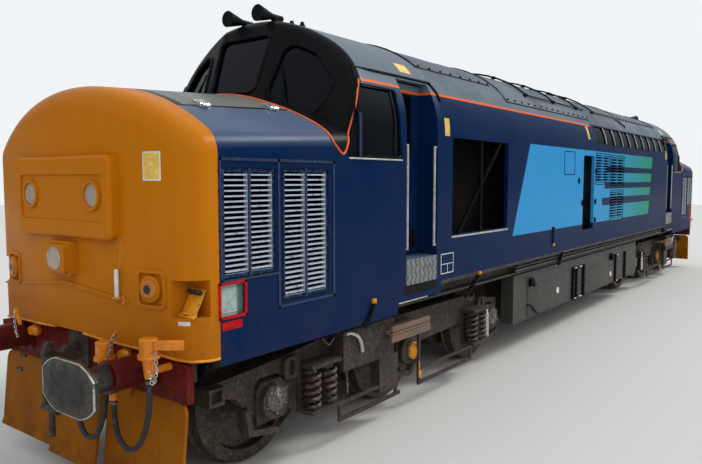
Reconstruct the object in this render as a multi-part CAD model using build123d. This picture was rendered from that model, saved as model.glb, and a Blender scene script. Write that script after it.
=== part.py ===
from build123d import *
import math
import os

# Nose-ended diesel locomotive on two six-wheel bogies, in millimetres.
# +X points to its front end, +Y to its left side and +Z up. Heights are above the rail head.
# The finished pieces are raised by the flange depth, so the wheel flanges end at Z = 0.

# Overall sizes
OVER_BUFFERS = 18745.0
END_X = OVER_BUFFERS / 2
HALF_WIDTH = 1350.0
GAP = 0.3
SHELL = 50.0

# Stations counted back from the buffer faces
BUFFER_REACH = 612.5
BEAM = 60.0
BEAM_X1 = END_X - BUFFER_REACH
BEAM_X0 = BEAM_X1 - BEAM
NOSE_OVERHANG = 100.0
NOSE_LENGTH = 1670.0
CAB_LENGTH = 1840.0
NOSE_FRONT_X = BEAM_X1 + NOSE_OVERHANG
CAB_FRONT_X = NOSE_FRONT_X - NOSE_LENGTH
CAB_REAR_X = CAB_FRONT_X - CAB_LENGTH

# Body section: upright side, shoulder arc and roof arc
EAVES_Z = 2895.0
SHOULDER_R = 953.0
SHOULDER_ANGLE = 55.0
CANTRAIL_Z = 3350.0

# Body levels
SOLEBAR_TOP_Z = 1310.0
SKIRT_Z = 1075.0
DOOR_SKIRT_Z = 1180.0

# Nose
NOSE_EAVES_Z = 2643.0
NOSE_SHOULDER_R = 220.0
NOSE_ANGLE = 57.0
NOSE_FALL = 0.05
NOSE_PLAN_R = 6500.0
NOSE_EDGE_R = 180.0

# Windscreen: a centre plane and two outer planes that sweep back
SCREEN_FOOT_X = CAB_FRONT_X - 73
SCREEN_FOOT_Z = 3200.0
SCREEN_EDGE_R = 120.0
SCREEN_RAKE = math.tan(math.radians(20.0))
SCREEN_SWEEP = math.tan(math.radians(20.0))
SCREEN_POST_Y = 360.0
CAB_FRONT_WALL = 90.0
GLASS = 12.0

# Cab door: the opening, its frame and the leaf behind it
DOOR_X0 = CAB_REAR_X + 100
DOOR_WIDTH = 610.0
DOOR_X1 = DOOR_X0 + DOOR_WIDTH
DOOR_SKIRT_X = DOOR_X1 + 140
DOOR_SILL_Z = 1600.0
DOOR_TOP_Z = 3400.0
DOOR_FRAME_Y = 1120.0
DOOR_FRAME = 40.0
DOOR_LAP = 15.0
DOOR_LEAF = 40.0
DOOR_RUN = 8.0
DOOR_PIVOT_IN = 10.0
DOOR_PIVOT_Y = DOOR_FRAME_Y - DOOR_RUN - DOOR_LEAF / 2
KNUCKLE_R = 9.0
KNUCKLE = 60.0
HINGE_PIN_R = 5.0
HINGE_Z = (1750.0, 2450.0, 3150.0)

# Cab floor and fittings
CAB_FLOOR_Z = 1560.0
FLOOR_PLATE = 30.0
BULKHEAD = 30.0

# Engine-room door
ROOM_DOOR_X0 = 110.0
ROOM_DOOR_X1 = 680.0
ROOM_DOOR_Z0 = 1570.0
ROOM_DOOR_Z1 = 2800.0
ROOM_DOOR_R = 60.0
ROOM_HINGE_Z = (1720.0, 2590.0)

# Radiator opening and the fan above it
RAD_LENGTH = 1470.0
RAD_X1 = CAB_REAR_X - 230
RAD_X0 = RAD_X1 - RAD_LENGTH
RAD_Z0 = 1790.0
RAD_Z1 = 2860.0
RAD_BLOCK_Y = 1060.0
RAD_BLOCK = 150.0
FAN_X = CAB_REAR_X - 965
FAN_R = 620.0
FAN_TIP_GAP = 20.0
FAN_COWL = 40.0
FAN_Z = 3560.0
FAN_BLADES = 8
FAN_HUB_R = 150.0
FAN_PIN_R = 40.0
FAN_CHORD = 150.0
FAN_PITCH = 30.0
GUARD_RISE = 150.0

# Cantrail windows in the body side
CANT_X0 = -CAB_REAR_X + 60
CANT_PITCH = 528.0
CANT_WINDOWS = 10
CANT_POST = 60.0
CANT_Z0 = 3020.0
CANT_Z1 = 3320.0

# Wheels and axles
WHEEL_D = 1143.0
FLANGE_DEPTH = 30.0
BACK_TO_BACK = 1360.0
RIM_WIDTH = 135.0
AXLE_R = 90.0
JOURNAL_R = 75.0
JOURNAL_GAP = 0.1
AXLE_HALF = 1110.0
AXLE_Z = WHEEL_D / 2
BOGIE_IN = 3708.5
BOGIE_X = END_X - BOGIE_IN
AXLE_PITCH = 2057.5

# Bogie frame
FRAME_Y0 = 950.0
FRAME_Y1 = 1060.0
FRAME_TOP_Z = 955.0
FRAME_LOW_Z = 580.0
FRAME_END_Z0 = 700.0
FRAME_END_Z1 = 840.0
FRAME_OUT = AXLE_PITCH + 702.5
FRAME_IN = AXLE_PITCH + 272.5
FRAME_SHOULDER = AXLE_PITCH - 657.5
FRAME_NECK = AXLE_PITCH - 157.5
HORN_HALF = 250.0
HORN_LOW_Z = 340.0
AXLEBOX_HALF = 170.0
AXLEBOX_CORNER = 60.0
AXLEBOX_RISE = 30.0
AXLEBOX_COVER_R = 148.0
AXLEBOX_Y0 = 900.0
AXLEBOX_Y1 = 1150.0
HEADSTOCK = 70.0
TRANSOM_OFFSET = AXLE_PITCH / 2
TRANSOM_HALF = 200.0
TRANSOM_LOW_Z = 660.0
TRANSOM_TOP_Z = 915.0
SPRING_R = 85.0
SPRING_Z0 = 400.0
SPRING_Z1 = 770.0
SPRING_Y = 1085.0
SPRINGS_AT = (AXLE_PITCH - 651.5, AXLE_PITCH - 431.5)
PIVOT_R = 140.0
BEARER_Y = 640.0
BOLSTER_Y = 300.0
BOLSTER_TOP_Z = 1015.0

# Underframe
DECK = 40.0
DECK_X = BEAM_X0 - 100
DECK_END_Y = 1180.0
SOLEBAR_Z = 1120.0
SOLEBAR_Y = 1285.0
SOLEBAR_WEB = 25.0
SOLEBAR_FLANGE = 80.0
SOLEBAR_X = BEAM_X0 - 450
BEAM_HALF_Y = 1310.0
BEAM_Z0 = 860.0
BEAM_Z1 = 1115.0
DRAGBOX_X = DECK_X - 100
DRAGBOX_Y = 1100.0
DRAGBOX_Z = 920.0

# Buffers and drawgear
BUFFER_Y = 870.0
BUFFER_Z = 1054.0
BUFFER_HEAD_W = 620.0
BUFFER_HEAD_H = 365.0
BUFFER_HEAD = 35.0
BUFFER_BASE_HALF = 150.0
BUFFER_BASE_Z0 = 945.0
BUFFER_BASE_Z1 = 1165.0
BUFFER_BASE = 25.0
BUFFER_CASE_R = 118.0
BUFFER_CASE = 330.0
BUFFER_COLLAR = 35.0
BUFFER_RAM_R = 90.0
HOOK_T = 60.0

# Tanks between the bogies
TANK_X = BOGIE_X - FRAME_IN - 154
TANK_Y0 = 1070.0
TANK_Y1 = 1250.0
TANK_Z0 = 420.0
TANK_Z1 = 1090.0
TANK_MID_X = TANK_X - 280
TANK_HANGER_X = TANK_X - 780

# Hoses
HOSE_R = 20.0


def block(x0, x1, y0, y1, z0, z1):
    """Block between two opposite corners."""
    centre = Pos((x0 + x1) / 2, (y0 + y1) / 2, (z0 + z1) / 2)
    return centre * Box(abs(x1 - x0), abs(y1 - y0), abs(z1 - z0))


def plate_xz(points, y0, y1):
    """Plate with an outline in X and Z, from y0 to y1."""
    face = Plane.XZ.offset(-y0) * make_face(Polyline(*points, close=True))
    return extrude(face, amount=-(y1 - y0))


def plate_yz(points, x0, x1):
    """Plate with an outline in Y and Z, from x0 to x1."""
    face = Plane.YZ.offset(x0) * make_face(Polyline(*points, close=True))
    return extrude(face, amount=x1 - x0)


def side_slot(x0, x1, z0, z1, y0, y1, radius):
    """Rounded rectangle seen from the side, from y0 to y1."""
    shape = Pos((x0 + x1) / 2, (z0 + z1) / 2) * RectangleRounded(x1 - x0, z1 - z0, radius)
    return extrude(Plane.XZ.offset(-y0) * shape, amount=-(y1 - y0))


def front_slot(y0, y1, z0, z1, x0, x1, radius):
    """Rounded rectangle seen from the front, from x0 to x1."""
    shape = Pos((y0 + y1) / 2, (z0 + z1) / 2) * RectangleRounded(y1 - y0, z1 - z0, radius)
    return extrude(Plane.YZ.offset(x0) * shape, amount=x1 - x0)


def rod_x(x0, x1, y, z, radius):
    """Round bar along X."""
    return extrude(Plane.YZ.offset(x0) * Pos(y, z) * Circle(radius), amount=x1 - x0)


def rod_y(x, y0, y1, z, radius):
    """Round bar along Y."""
    return extrude(Plane.XZ.offset(-y0) * Pos(x, z) * Circle(radius), amount=-(y1 - y0))


def rod_z(x, y, z0, z1, radius):
    """Round bar along Z."""
    return extrude(Plane.XY.offset(z0) * Pos(x, y) * Circle(radius), amount=z1 - z0)


def turned(shape):
    """The same piece at the other end of the locomotive."""
    return Rot(0, 0, 180) * shape


def across(shape):
    """The same piece on the other side."""
    return mirror(shape, Plane.XZ)


def both_sides(shape):
    """A piece and its mirror image on the other side."""
    return [shape, across(shape)]


def union(shapes):
    """One body from pieces that meet."""
    joined = shapes[0]
    for shape in shapes[1:]:
        joined = joined + shape
    return joined


def save(name, shapes):
    """Writes one piece, raised so that the flanges end at Z = 0."""
    solids = [solid for shape in shapes for solid in shape.solids()]
    raised = Pos(0, 0, FLANGE_DEPTH) * Compound(solids)
    export_step(raised, f"parts/{name}.step")


def arch_face(half_width, shoulder_r, eaves_z, angle, inset, bottom_z):
    """Body section: upright sides, two shoulder arcs and a roof arc, moved inwards by inset."""
    turn = math.radians(angle)
    shoulder_y = half_width - shoulder_r
    roof_z = eaves_z - shoulder_y * math.tan(turn)
    roof_r = shoulder_r + shoulder_y / math.cos(turn) - inset
    arc_r = shoulder_r - inset
    side = half_width - inset
    middle = (shoulder_y + arc_r * math.cos(turn / 2), eaves_z + arc_r * math.sin(turn / 2))
    join = (shoulder_y + arc_r * math.cos(turn), eaves_z + arc_r * math.sin(turn))
    outline = [
        Line((-side, bottom_z), (side, bottom_z)),
        Line((side, bottom_z), (side, eaves_z)),
        ThreePointArc((side, eaves_z), middle, join),
        ThreePointArc(join, (0, roof_z + roof_r), (-join[0], join[1])),
        ThreePointArc((-join[0], join[1]), (-middle[0], middle[1]), (-side, eaves_z)),
        Line((-side, eaves_z), (-side, bottom_z)),
    ]
    return make_face(outline)


def body_prism(x0, x1, inset, bottom_z):
    """Length of the body section between two stations."""
    face = arch_face(HALF_WIDTH, SHOULDER_R, EAVES_Z, SHOULDER_ANGLE, inset, bottom_z)
    return extrude(Plane.YZ.offset(x0) * face, amount=x1 - x0)


def nose_prism(x0, x1, inset, bottom_z):
    """Length of the bonnet section, whose top falls towards the front."""
    lift = NOSE_FALL * (CAB_FRONT_X - x0)
    spare = NOSE_FALL * (x1 - x0)
    face = arch_face(
        HALF_WIDTH, NOSE_SHOULDER_R, NOSE_EAVES_Z + lift, NOSE_ANGLE, inset, bottom_z - spare
    )
    slope = Vector(1, 0, -NOSE_FALL)
    length = (x1 - x0) * slope.length
    sloped = extrude(Plane.YZ.offset(x0) * face, amount=length, dir=slope.normalized())
    return sloped & block(x0, x1, -HALF_WIDTH, HALF_WIDTH, bottom_z, 2 * EAVES_Z)


def knuckle(x, y, wall_y, z):
    """Hinge knuckle on a wall, bored for the door's pin."""
    barrel = rod_z(x, y, z, z + KNUCKLE, KNUCKLE_R)
    leg = block(x - KNUCKLE_R, x + KNUCKLE_R, y, wall_y, z, z + KNUCKLE)
    return barrel + leg - rod_z(x, y, z - GAP, z + KNUCKLE + GAP, HINGE_PIN_R + JOURNAL_GAP)


def hinge_notch(leaf, x, y, z):
    """Door leaf cut back round a knuckle, with the hinge pin left in the notch."""
    reach = KNUCKLE_R + 4
    notch = block(x - reach, x + reach, y - DOOR_LEAF, y + DOOR_LEAF, z - GAP, z + KNUCKLE + GAP)
    return leaf - notch + rod_z(x, y, z - GAP, z + KNUCKLE + GAP, HINGE_PIN_R)


def screen_plane(side, inset):
    """Plane of the windscreen: the centre pane, or an outer pane on one side."""
    normal = Vector(1, side * SCREEN_SWEEP, SCREEN_RAKE).normalized()
    foot = Vector(SCREEN_FOOT_X, side * SCREEN_POST_Y, SCREEN_FOOT_Z)
    return Plane(origin=foot - normal * inset, z_dir=normal)


def behind_screen(shape, inset):
    """What of a shape lies behind the three windscreen planes."""
    for side in (0, 1, -1):
        shape = split(shape, bisect_by=screen_plane(side, inset), keep=Keep.BOTTOM)
    return shape


# Nose

NOSE_LOUVRES = (
    # x0, x1, z0, z1
    (CAB_FRONT_X + 100, CAB_FRONT_X + 650, 1460.0, 2485.0),
    (NOSE_FRONT_X - 930, NOSE_FRONT_X - 400, 1700.0, 2480.0),
)
CABLE_BOX = (NOSE_FRONT_X - 615, NOSE_FRONT_X - 370, 1420.0, 1660.0)
LOUVRE_PITCH = 42.0
VALANCE_X = NOSE_FRONT_X - 300
VALANCE = (
    # y, z of the valance's lower edge on the left half
    (210.0, 1215.0), (880.0, 1180.0), (1180.0, 1150.0), (1400.0, 1130.0),
)
HOOK_NOTCH_HALF = 200.0
HOOK_NOTCH_Z = 1230.0
BEAD = (
    # y, z of the bead across the nose front on the left half
    (0.0, 1618.0), (750.0, 1540.0),
)
BEAD_H = 26.0
BEAD_PROUD = 12.0

# Raised headcode panel and its marker lamps
ROOT = 45.0
HEADCODE_HALF_Y = 670.0
HEADCODE_Z0 = 1960.0
HEADCODE_Z1 = 2580.0
HEADCODE_PROUD = 45.0
HEADCODE_R = 60.0
HEADCODE_EDGE_R = 30.0
PANEL_HALF_Y = 590.0
PANEL_Z0 = 2090.0
PANEL_Z1 = 2440.0
PANEL_DEPTH = 14.0
PANEL_R = 35.0
MARKER_Y = 440.0
MARKER_Z = 2285.0
MARKER_R = 88.0
MARKER_BEZEL_R = 112.0
MARKER_BEZEL = 20.0
LENS_SEAT = 26.0

# Headlight in its stepped housing
HEADLIGHT_HALF = 165.0
HEADLIGHT_Z0 = 1665.0
HEADLIGHT_Z1 = 1930.0
HEADLIGHT_STEP = 25.0
HEADLIGHT_STEP_OUT = 60.0
HEADLIGHT_OUT = 100.0
HEADLIGHT_R = 92.0

# Tail lamp dishes and the pockets in the nose corners
TAIL_Y = 975.0
TAIL_Z = 1635.0
DISH = 280.0
DISH_RIM = 28.0
DISH_DEPTH = 15.0
DISH_PROUD = 10.0
TAIL_RING_R = 95.0
TAIL_RING = 26.0
TAIL_R = 68.0
POCKET_X = NOSE_FRONT_X - 285
POCKET_Y = 1155.0
POCKET_Z0 = 1450.0
POCKET_Z1 = 1710.0
POCKET_WALL = 15.0


def nose_form(inset):
    """Bonnet with its bowed front and rounded front edge, moved inwards by inset."""
    front_r = NOSE_PLAN_R - inset
    bow = rod_z(NOSE_FRONT_X - NOSE_PLAN_R, 0, 0, 2 * EAVES_Z, front_r)
    base_z = SKIRT_Z - inset
    form = nose_prism(CAB_FRONT_X, NOSE_FRONT_X + SHELL, inset, base_z) & bow
    front = form.faces().sort_by(Axis.X)[-1]
    edges = [edge for edge in front.edges() if edge.center().Z > base_z + 1]
    return fillet(edges, NOSE_EDGE_R - inset)


def nose_plane(y, z):
    """Plane that touches the bowed nose front at one place and faces outwards."""
    turn = math.asin(y / NOSE_PLAN_R)
    x = NOSE_FRONT_X - NOSE_PLAN_R * (1 - math.cos(turn))
    along = (-math.sin(turn), math.cos(turn), 0)
    outwards = (math.cos(turn), math.sin(turn), 0)
    return Plane(origin=(x, y, z), x_dir=along, z_dir=outwards)


def on_plane(plane, shape, low, high):
    """Flat shape on a plane, raised from low to high along its normal."""
    return extrude(plane.offset(low) * shape, amount=high - low)


def headcode_panel():
    """Raised headcode panel with a stepped face and the marker lamps' bezels."""
    root_x = NOSE_FRONT_X - ROOT
    face_x = NOSE_FRONT_X + HEADCODE_PROUD
    inner_x = face_x - PANEL_DEPTH
    panel = front_slot(
        -HEADCODE_HALF_Y, HEADCODE_HALF_Y, HEADCODE_Z0, HEADCODE_Z1, root_x, face_x, HEADCODE_R
    )
    panel = fillet(panel.faces().sort_by(Axis.X)[-1].edges(), HEADCODE_EDGE_R)
    panel = panel - front_slot(
        -PANEL_HALF_Y, PANEL_HALF_Y, PANEL_Z0, PANEL_Z1, inner_x, face_x + SHELL, PANEL_R
    )
    for y in (MARKER_Y, -MARKER_Y):
        panel = panel + rod_x(root_x, inner_x + MARKER_BEZEL, y, MARKER_Z, MARKER_BEZEL_R)
        panel = panel - rod_x(inner_x - LENS_SEAT, face_x + SHELL, y, MARKER_Z, MARKER_R)
    return panel


def headlight_housing():
    """Stepped square housing of the headlight with the seat of its lens."""
    step_x = NOSE_FRONT_X + HEADLIGHT_STEP_OUT
    face_x = NOSE_FRONT_X + HEADLIGHT_OUT
    inner = HEADLIGHT_HALF - HEADLIGHT_STEP
    base = front_slot(
        -HEADLIGHT_HALF, HEADLIGHT_HALF, HEADLIGHT_Z0, HEADLIGHT_Z1, NOSE_FRONT_X - ROOT, step_x,
        HEADLIGHT_STEP,
    )
    step = front_slot(
        -inner, inner, HEADLIGHT_Z0 + HEADLIGHT_STEP, HEADLIGHT_Z1 - HEADLIGHT_STEP, step_x, face_x,
        HEADLIGHT_STEP,
    )
    seat = rod_x(face_x - LENS_SEAT, face_x + SHELL, 0, (HEADLIGHT_Z0 + HEADLIGHT_Z1) / 2, HEADLIGHT_R)
    return base + step - seat


def tail_dish(side):
    """Rounded square dish of a tail lamp with the lamp's ring."""
    plane = nose_plane(side * TAIL_Y, TAIL_Z)
    inner = DISH - 2 * DISH_RIM
    plate = on_plane(plane, RectangleRounded(DISH, DISH, 2 * DISH_RIM), -ROOT, DISH_PROUD)
    hollow = on_plane(plane, RectangleRounded(inner, inner, DISH_RIM), -DISH_DEPTH, SHELL)
    ring = on_plane(plane, Circle(TAIL_RING_R), -ROOT, TAIL_RING)
    ring = fillet(ring.faces().sort_by(Axis.X)[-1].edges(), TAIL_RING / 3)
    seat = on_plane(plane, Circle(TAIL_R), 0, SHELL)
    return plate - hollow + ring - seat


def nose_bead():
    """Bead pressed across the lower part of the nose front."""
    left = [(y, z) for y, z in BEAD]
    right = [(-y, z) for y, z in reversed(BEAD[1:])]
    upper = [*right, *left]
    lower = [(y, z - BEAD_H) for y, z in reversed(upper)]
    strip = plate_yz((*upper, *lower), NOSE_FRONT_X - 4 * SHELL, NOSE_FRONT_X + SHELL)
    centre_x = NOSE_FRONT_X - NOSE_PLAN_R
    outer = rod_z(centre_x, 0, 0, 2 * EAVES_Z, NOSE_PLAN_R + BEAD_PROUD)
    inner = rod_z(centre_x, 0, 0, 2 * EAVES_Z, NOSE_PLAN_R - ROOT)
    return (strip & outer) - inner


def nose_shell():
    """Welded nose, open below and behind, with its louvre openings, lamp housings and corner pockets."""
    form = nose_form(0)
    nose = form - nose_form(SHELL)
    reach = HALF_WIDTH + SHELL
    box = block(
        POCKET_X - POCKET_WALL, NOSE_FRONT_X, POCKET_Y - POCKET_WALL, reach,
        POCKET_Z0 - POCKET_WALL, POCKET_Z1 + POCKET_WALL,
    )
    pocket = block(POCKET_X, NOSE_FRONT_X, POCKET_Y, reach, POCKET_Z0, POCKET_Z1)
    for walls, hollow in zip(both_sides(box & form), both_sides(pocket)):
        nose = nose + walls - hollow
    for x0, x1, z0, z1 in (*NOSE_LOUVRES, CABLE_BOX):
        hole = block(x0, x1, HALF_WIDTH - 2 * SHELL, reach, z0, z1)
        nose = nose - hole - across(hole)
    for piece in (nose_bead(), headcode_panel(), headlight_housing()):
        nose = nose + piece
    for side in (1, -1):
        plane = nose_plane(side * TAIL_Y, TAIL_Z)
        inner = DISH - 2 * DISH_RIM
        nose = nose - on_plane(plane, RectangleRounded(inner, inner, DISH_RIM), -DISH_DEPTH, SHELL)
        nose = nose + tail_dish(side)
    left = [(y, z) for y, z in VALANCE]
    right = [(-y, z) for y, z in reversed(VALANCE)]
    low = SKIRT_Z - SHELL
    below = plate_yz(
        ((-VALANCE[-1][0], low), *right, *left, (VALANCE[-1][0], low)), VALANCE_X, NOSE_FRONT_X + SHELL
    )
    notch = block(VALANCE_X, NOSE_FRONT_X + SHELL, -HOOK_NOTCH_HALF, HOOK_NOTCH_HALF, low, HOOK_NOTCH_Z)
    return nose - below - notch


def louvre_panel(x0, x1, z0, z1, y_face, depth, slats):
    """Louvre: a frame with a middle post and level slats."""
    frame = 25.0
    panel = block(x0, x1, y_face - depth, y_face, z0, z1)
    middle = (x0 + x1) / 2
    for left, right in ((x0 + frame, middle - frame / 2), (middle + frame / 2, x1 - frame)):
        panel = panel - block(left, right, y_face - 2 * depth, y_face + depth, z0 + frame, z1 - frame)
    pitch = (z1 - z0 - 2 * frame) / slats
    thick = 0.3 * pitch
    bars = [
        block(x0 + frame, x1 - frame, y_face - depth, y_face - 3, z, z + thick)
        for z in (z0 + frame + pitch * (index + 0.35) for index in range(slats))
    ]
    return union([panel, *bars])


def nose_louvres():
    """The two louvres in each side of one nose."""
    panels = []
    for x0, x1, z0, z1 in NOSE_LOUVRES:
        slats = round((z1 - z0) / LOUVRE_PITCH)
        panel = louvre_panel(x0 + GAP, x1 - GAP, z0 + GAP, z1 - GAP, HALF_WIDTH - 2, SHELL - 4, slats)
        panels += both_sides(panel)
    return panels


# Cab

SIDE_WINDOW = (
    # x, z
    (CAB_FRONT_X - 1036, 2605.0), (CAB_FRONT_X - 195, 2605.0), (CAB_FRONT_X - 450, 3250.0),
    (CAB_FRONT_X - 1000, 3250.0),
)
SIDE_WINDOW_R = 40.0
CENTRE_PANE = ((-300.0, 3235.0), (300.0, 3235.0), (340.0, 3790.0), (-340.0, 3790.0))
OUTER_PANE = ((440.0, 3185.0), (950.0, 2975.0), (1050.0, 3290.0), (840.0, 3560.0), (520.0, 3715.0))
CENTRE_PANE_R = 70.0
OUTER_PANE_R = 120.0


def pane_prism(points, radius, x0, x1):
    """Pane outline seen from the front, from x0 to x1."""
    face = make_face(Polyline(*points, close=True))
    face = fillet(face.vertices(), radius)
    return extrude(Plane.YZ.offset(x0) * face, amount=x1 - x0)


def side_window_prism(y0, y1, shrink):
    """Cab side window outline, from y0 to y1."""
    face = make_face(Polyline(*SIDE_WINDOW, close=True))
    face = fillet(face.vertices(), SIDE_WINDOW_R)
    if shrink:
        face = offset(face, amount=-shrink)
    return extrude(Plane.XZ.offset(-y0) * face, amount=-(y1 - y0))


def faces_ahead(face):
    """Whether a face is flat and looks forward, as the windscreen planes do."""
    return face.geom_type == GeomType.PLANE and face.normal_at(face.center()).X > 0.5


def screen_edges(form):
    """Edges in which the windscreen planes meet the sides and the roof."""
    ahead = [edge for face in form.faces() if faces_ahead(face) for edge in face.edges()]
    outline = [edge for edge in ahead if sum(edge.is_same(other) for other in ahead) == 1]
    return [edge for edge in outline if edge.bounding_box().max.Z > DOOR_SILL_Z]


def cab_form(inset, bottom_z):
    """Cab with its rounded front, moved inwards by inset. What is inside runs through its open rear."""
    length = body_prism(CAB_REAR_X - inset, CAB_FRONT_X, inset, bottom_z)
    form = behind_screen(length, inset)
    return fillet(screen_edges(form), SCREEN_EDGE_R - inset)


def cab_shell():
    """Cab body with its windows and door frames."""
    outer = cab_form(0, SKIRT_Z) + nose_prism(CAB_FRONT_X - 900, CAB_FRONT_X, 0, SKIRT_Z)
    inner = cab_form(SHELL, SKIRT_Z - SHELL)
    front_limit = CAB_FRONT_X - CAB_FRONT_WALL
    inner = inner & block(
        CAB_REAR_X - SHELL, front_limit, -HALF_WIDTH, HALF_WIDTH, SKIRT_Z - SHELL, 2 * EAVES_Z
    )
    frame = block(
        DOOR_X0 - DOOR_FRAME, DOOR_X1 + DOOR_FRAME, DOOR_FRAME_Y, 2 * HALF_WIDTH,
        DOOR_SILL_Z - DOOR_FRAME, DOOR_TOP_Z + DOOR_FRAME,
    )
    doorway = block(DOOR_X0, DOOR_X1, DOOR_FRAME_Y - SHELL, 2 * HALF_WIDTH, DOOR_SILL_Z, DOOR_TOP_Z)
    window = side_window_prism(HALF_WIDTH - 4 * SHELL, HALF_WIDTH + SHELL, 0)
    for piece in both_sides(frame):
        inner = inner - piece
    shell = outer - inner
    for piece in (*both_sides(doorway), *both_sides(window)):
        shell = shell - piece
    panes = [
        pane_prism(CENTRE_PANE, CENTRE_PANE_R, CAB_REAR_X + SHELL, CAB_FRONT_X + SHELL),
        *both_sides(pane_prism(OUTER_PANE, OUTER_PANE_R, CAB_REAR_X + SHELL, CAB_FRONT_X + SHELL)),
    ]
    for pane in panes:
        shell = shell - pane
    trough = block(
        front_limit - SHELL, CAB_FRONT_X + SHELL, -HALF_WIDTH + SHELL, HALF_WIDTH - SHELL,
        SKIRT_Z - SHELL, SOLEBAR_TOP_Z,
    )
    door_skirt = block(
        CAB_REAR_X - SHELL, DOOR_SKIRT_X, -2 * HALF_WIDTH, 2 * HALF_WIDTH, SKIRT_Z - SHELL, DOOR_SKIRT_Z
    )
    shell = shell - trough - door_skirt
    pivot_x = DOOR_X0 - DOOR_LAP + DOOR_PIVOT_IN
    for z in HINGE_Z:
        for piece in both_sides(knuckle(pivot_x, DOOR_PIVOT_Y, DOOR_FRAME_Y, z)):
            shell = shell + piece
    return shell


def windscreen_panes():
    """Three panes, each set 20 mm into its opening."""
    recess = 20.0
    layer = cab_form(recess, SKIRT_Z) - cab_form(recess + GLASS, SKIRT_Z - SHELL)
    x0 = CAB_REAR_X + 500
    centre = layer & pane_prism(CENTRE_PANE, CENTRE_PANE_R, x0, CAB_FRONT_X)
    outer = layer & pane_prism(OUTER_PANE, OUTER_PANE_R, x0, CAB_FRONT_X)
    return [centre, *both_sides(outer)]


def side_panes():
    """Cab side windows, curved as the side is."""
    recess = 20.0
    layer = body_prism(CAB_REAR_X, CAB_FRONT_X, recess, SKIRT_Z) - body_prism(
        CAB_REAR_X - SHELL, CAB_FRONT_X + SHELL, recess + GLASS, SKIRT_Z - SHELL
    )
    pane = layer & side_window_prism(HALF_WIDTH - 4 * SHELL, HALF_WIDTH, 0)
    return both_sides(pane)


DESK_DEPTH = 520.0
DESK_Z = 2450.0
SEAT_X = CAB_REAR_X + 810
SEAT_Y = 760.0
SEAT_Z = 2020.0
SEAT_HALF = 220.0
SEAT_DEPTH = 420.0
SEAT_CUSHION = 110.0
SEAT_BACK = 90.0
SEAT_BACK_H = 530.0


def seat(side):
    """Driver's seat on a pedestal."""
    y = side * SEAT_Y
    top = SEAT_Z + SEAT_CUSHION
    stem = rod_z(SEAT_X + SEAT_DEPTH / 2, y, CAB_FLOOR_Z, SEAT_Z, 45)
    cushion = block(SEAT_X, SEAT_X + SEAT_DEPTH, y - SEAT_HALF, y + SEAT_HALF, SEAT_Z, top)
    cushion = fillet(cushion.edges().filter_by(Axis.Z), 50)
    half = SEAT_HALF - 10
    back = block(SEAT_X, SEAT_X + SEAT_BACK, y - half, y + half, top - 30, top + SEAT_BACK_H)
    back = fillet(back.edges().filter_by(Axis.X), 40)
    return union([stem, cushion, back])


def cab_fittings():
    """Floor and the desk under the windscreen."""
    inner_y = HALF_WIDTH - SHELL - GAP
    front_x = CAB_FRONT_X - CAB_FRONT_WALL - GAP
    floor = block(
        CAB_REAR_X + BULKHEAD + GAP, front_x, -inner_y, inner_y, CAB_FLOOR_Z - FLOOR_PLATE, CAB_FLOOR_Z
    )
    knee_x = front_x - DESK_DEPTH / 2
    edge_x = front_x - DESK_DEPTH
    desk = plate_xz(
        (
            (front_x, CAB_FLOOR_Z), (front_x, DESK_Z), (knee_x, DESK_Z), (edge_x, DESK_Z - 120),
            (edge_x, DESK_Z - 200), (knee_x, DESK_Z - 260), (knee_x, CAB_FLOOR_Z),
        ),
        -inner_y, inner_y,
    )
    room = cab_form(SHELL + GAP, SKIRT_Z)
    return [floor + (desk & room)]


def bulkhead(x0, x1, base_z):
    """Cross wall inside the body shell."""
    return body_prism(x0, x1, SHELL + GAP, base_z)


def cab_bulkhead():
    """Wall between the cab and the engine room, with its door panel pressed in."""
    wall = bulkhead(CAB_REAR_X, CAB_REAR_X + BULKHEAD, SOLEBAR_TOP_Z)
    panel = front_slot(-280, 280, CAB_FLOOR_Z + 60, CAB_FLOOR_Z + 1850, CAB_REAR_X + BULKHEAD - 8,
                       CAB_REAR_X + 2 * BULKHEAD, 60)
    return wall - panel


DOOR_WINDOW = (DOOR_X0 + 160, DOOR_X0 + 440, 2640.0, 3270.0)
DOOR_HANDLE_Z = 2350.0
DOOR_HANDLE = 110.0


def cab_door():
    """Door leaf behind its frame on the left of the front cab, with its window."""
    y1 = DOOR_FRAME_Y - DOOR_RUN
    y0 = y1 - DOOR_LEAF
    x0 = DOOR_X0 - DOOR_LAP
    x1 = DOOR_X1 + DOOR_LAP
    leaf = block(x0, x1, y0, y1, DOOR_SILL_Z - DOOR_LAP, DOOR_TOP_Z - DOOR_LAP)
    left, right, low, top = DOOR_WINDOW
    window = side_slot(left, right, low, top, y0 - SHELL, y1 + SHELL, 50)
    glass = side_slot(left + GAP, right - GAP, low + GAP, top - GAP, y0 + GLASS, y0 + 2 * GLASS, 50)
    handle_x = x1 - 90
    handle = rod_y(handle_x, y1, y1 + 30, DOOR_HANDLE_Z, 12)
    grip = block(
        handle_x - DOOR_HANDLE, handle_x + 12, y1 + 30, y1 + 45, DOOR_HANDLE_Z - 12, DOOR_HANDLE_Z + 12
    )
    leaf = leaf - window + handle + grip
    for z in HINGE_Z:
        leaf = hinge_notch(leaf, x0 + DOOR_PIVOT_IN, DOOR_PIVOT_Y, z)
    return [leaf], [glass]


# Body between the cabs

SIDE_LOUVRES = (
    # x0, x1, z0, z1
    (-795.0, 40.0, 2325.0, 2850.0),
    (-1700.0, -860.0, 2260.0, 2840.0),
    (-1700.0, -860.0, 1654.0, 2200.0),
)


ROOM_PIVOT_X = ROOM_DOOR_X1 + DOOR_LAP - DOOR_PIVOT_IN
ROOM_PIVOT_Y = HALF_WIDTH - SHELL - DOOR_RUN - DOOR_LEAF / 2


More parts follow.
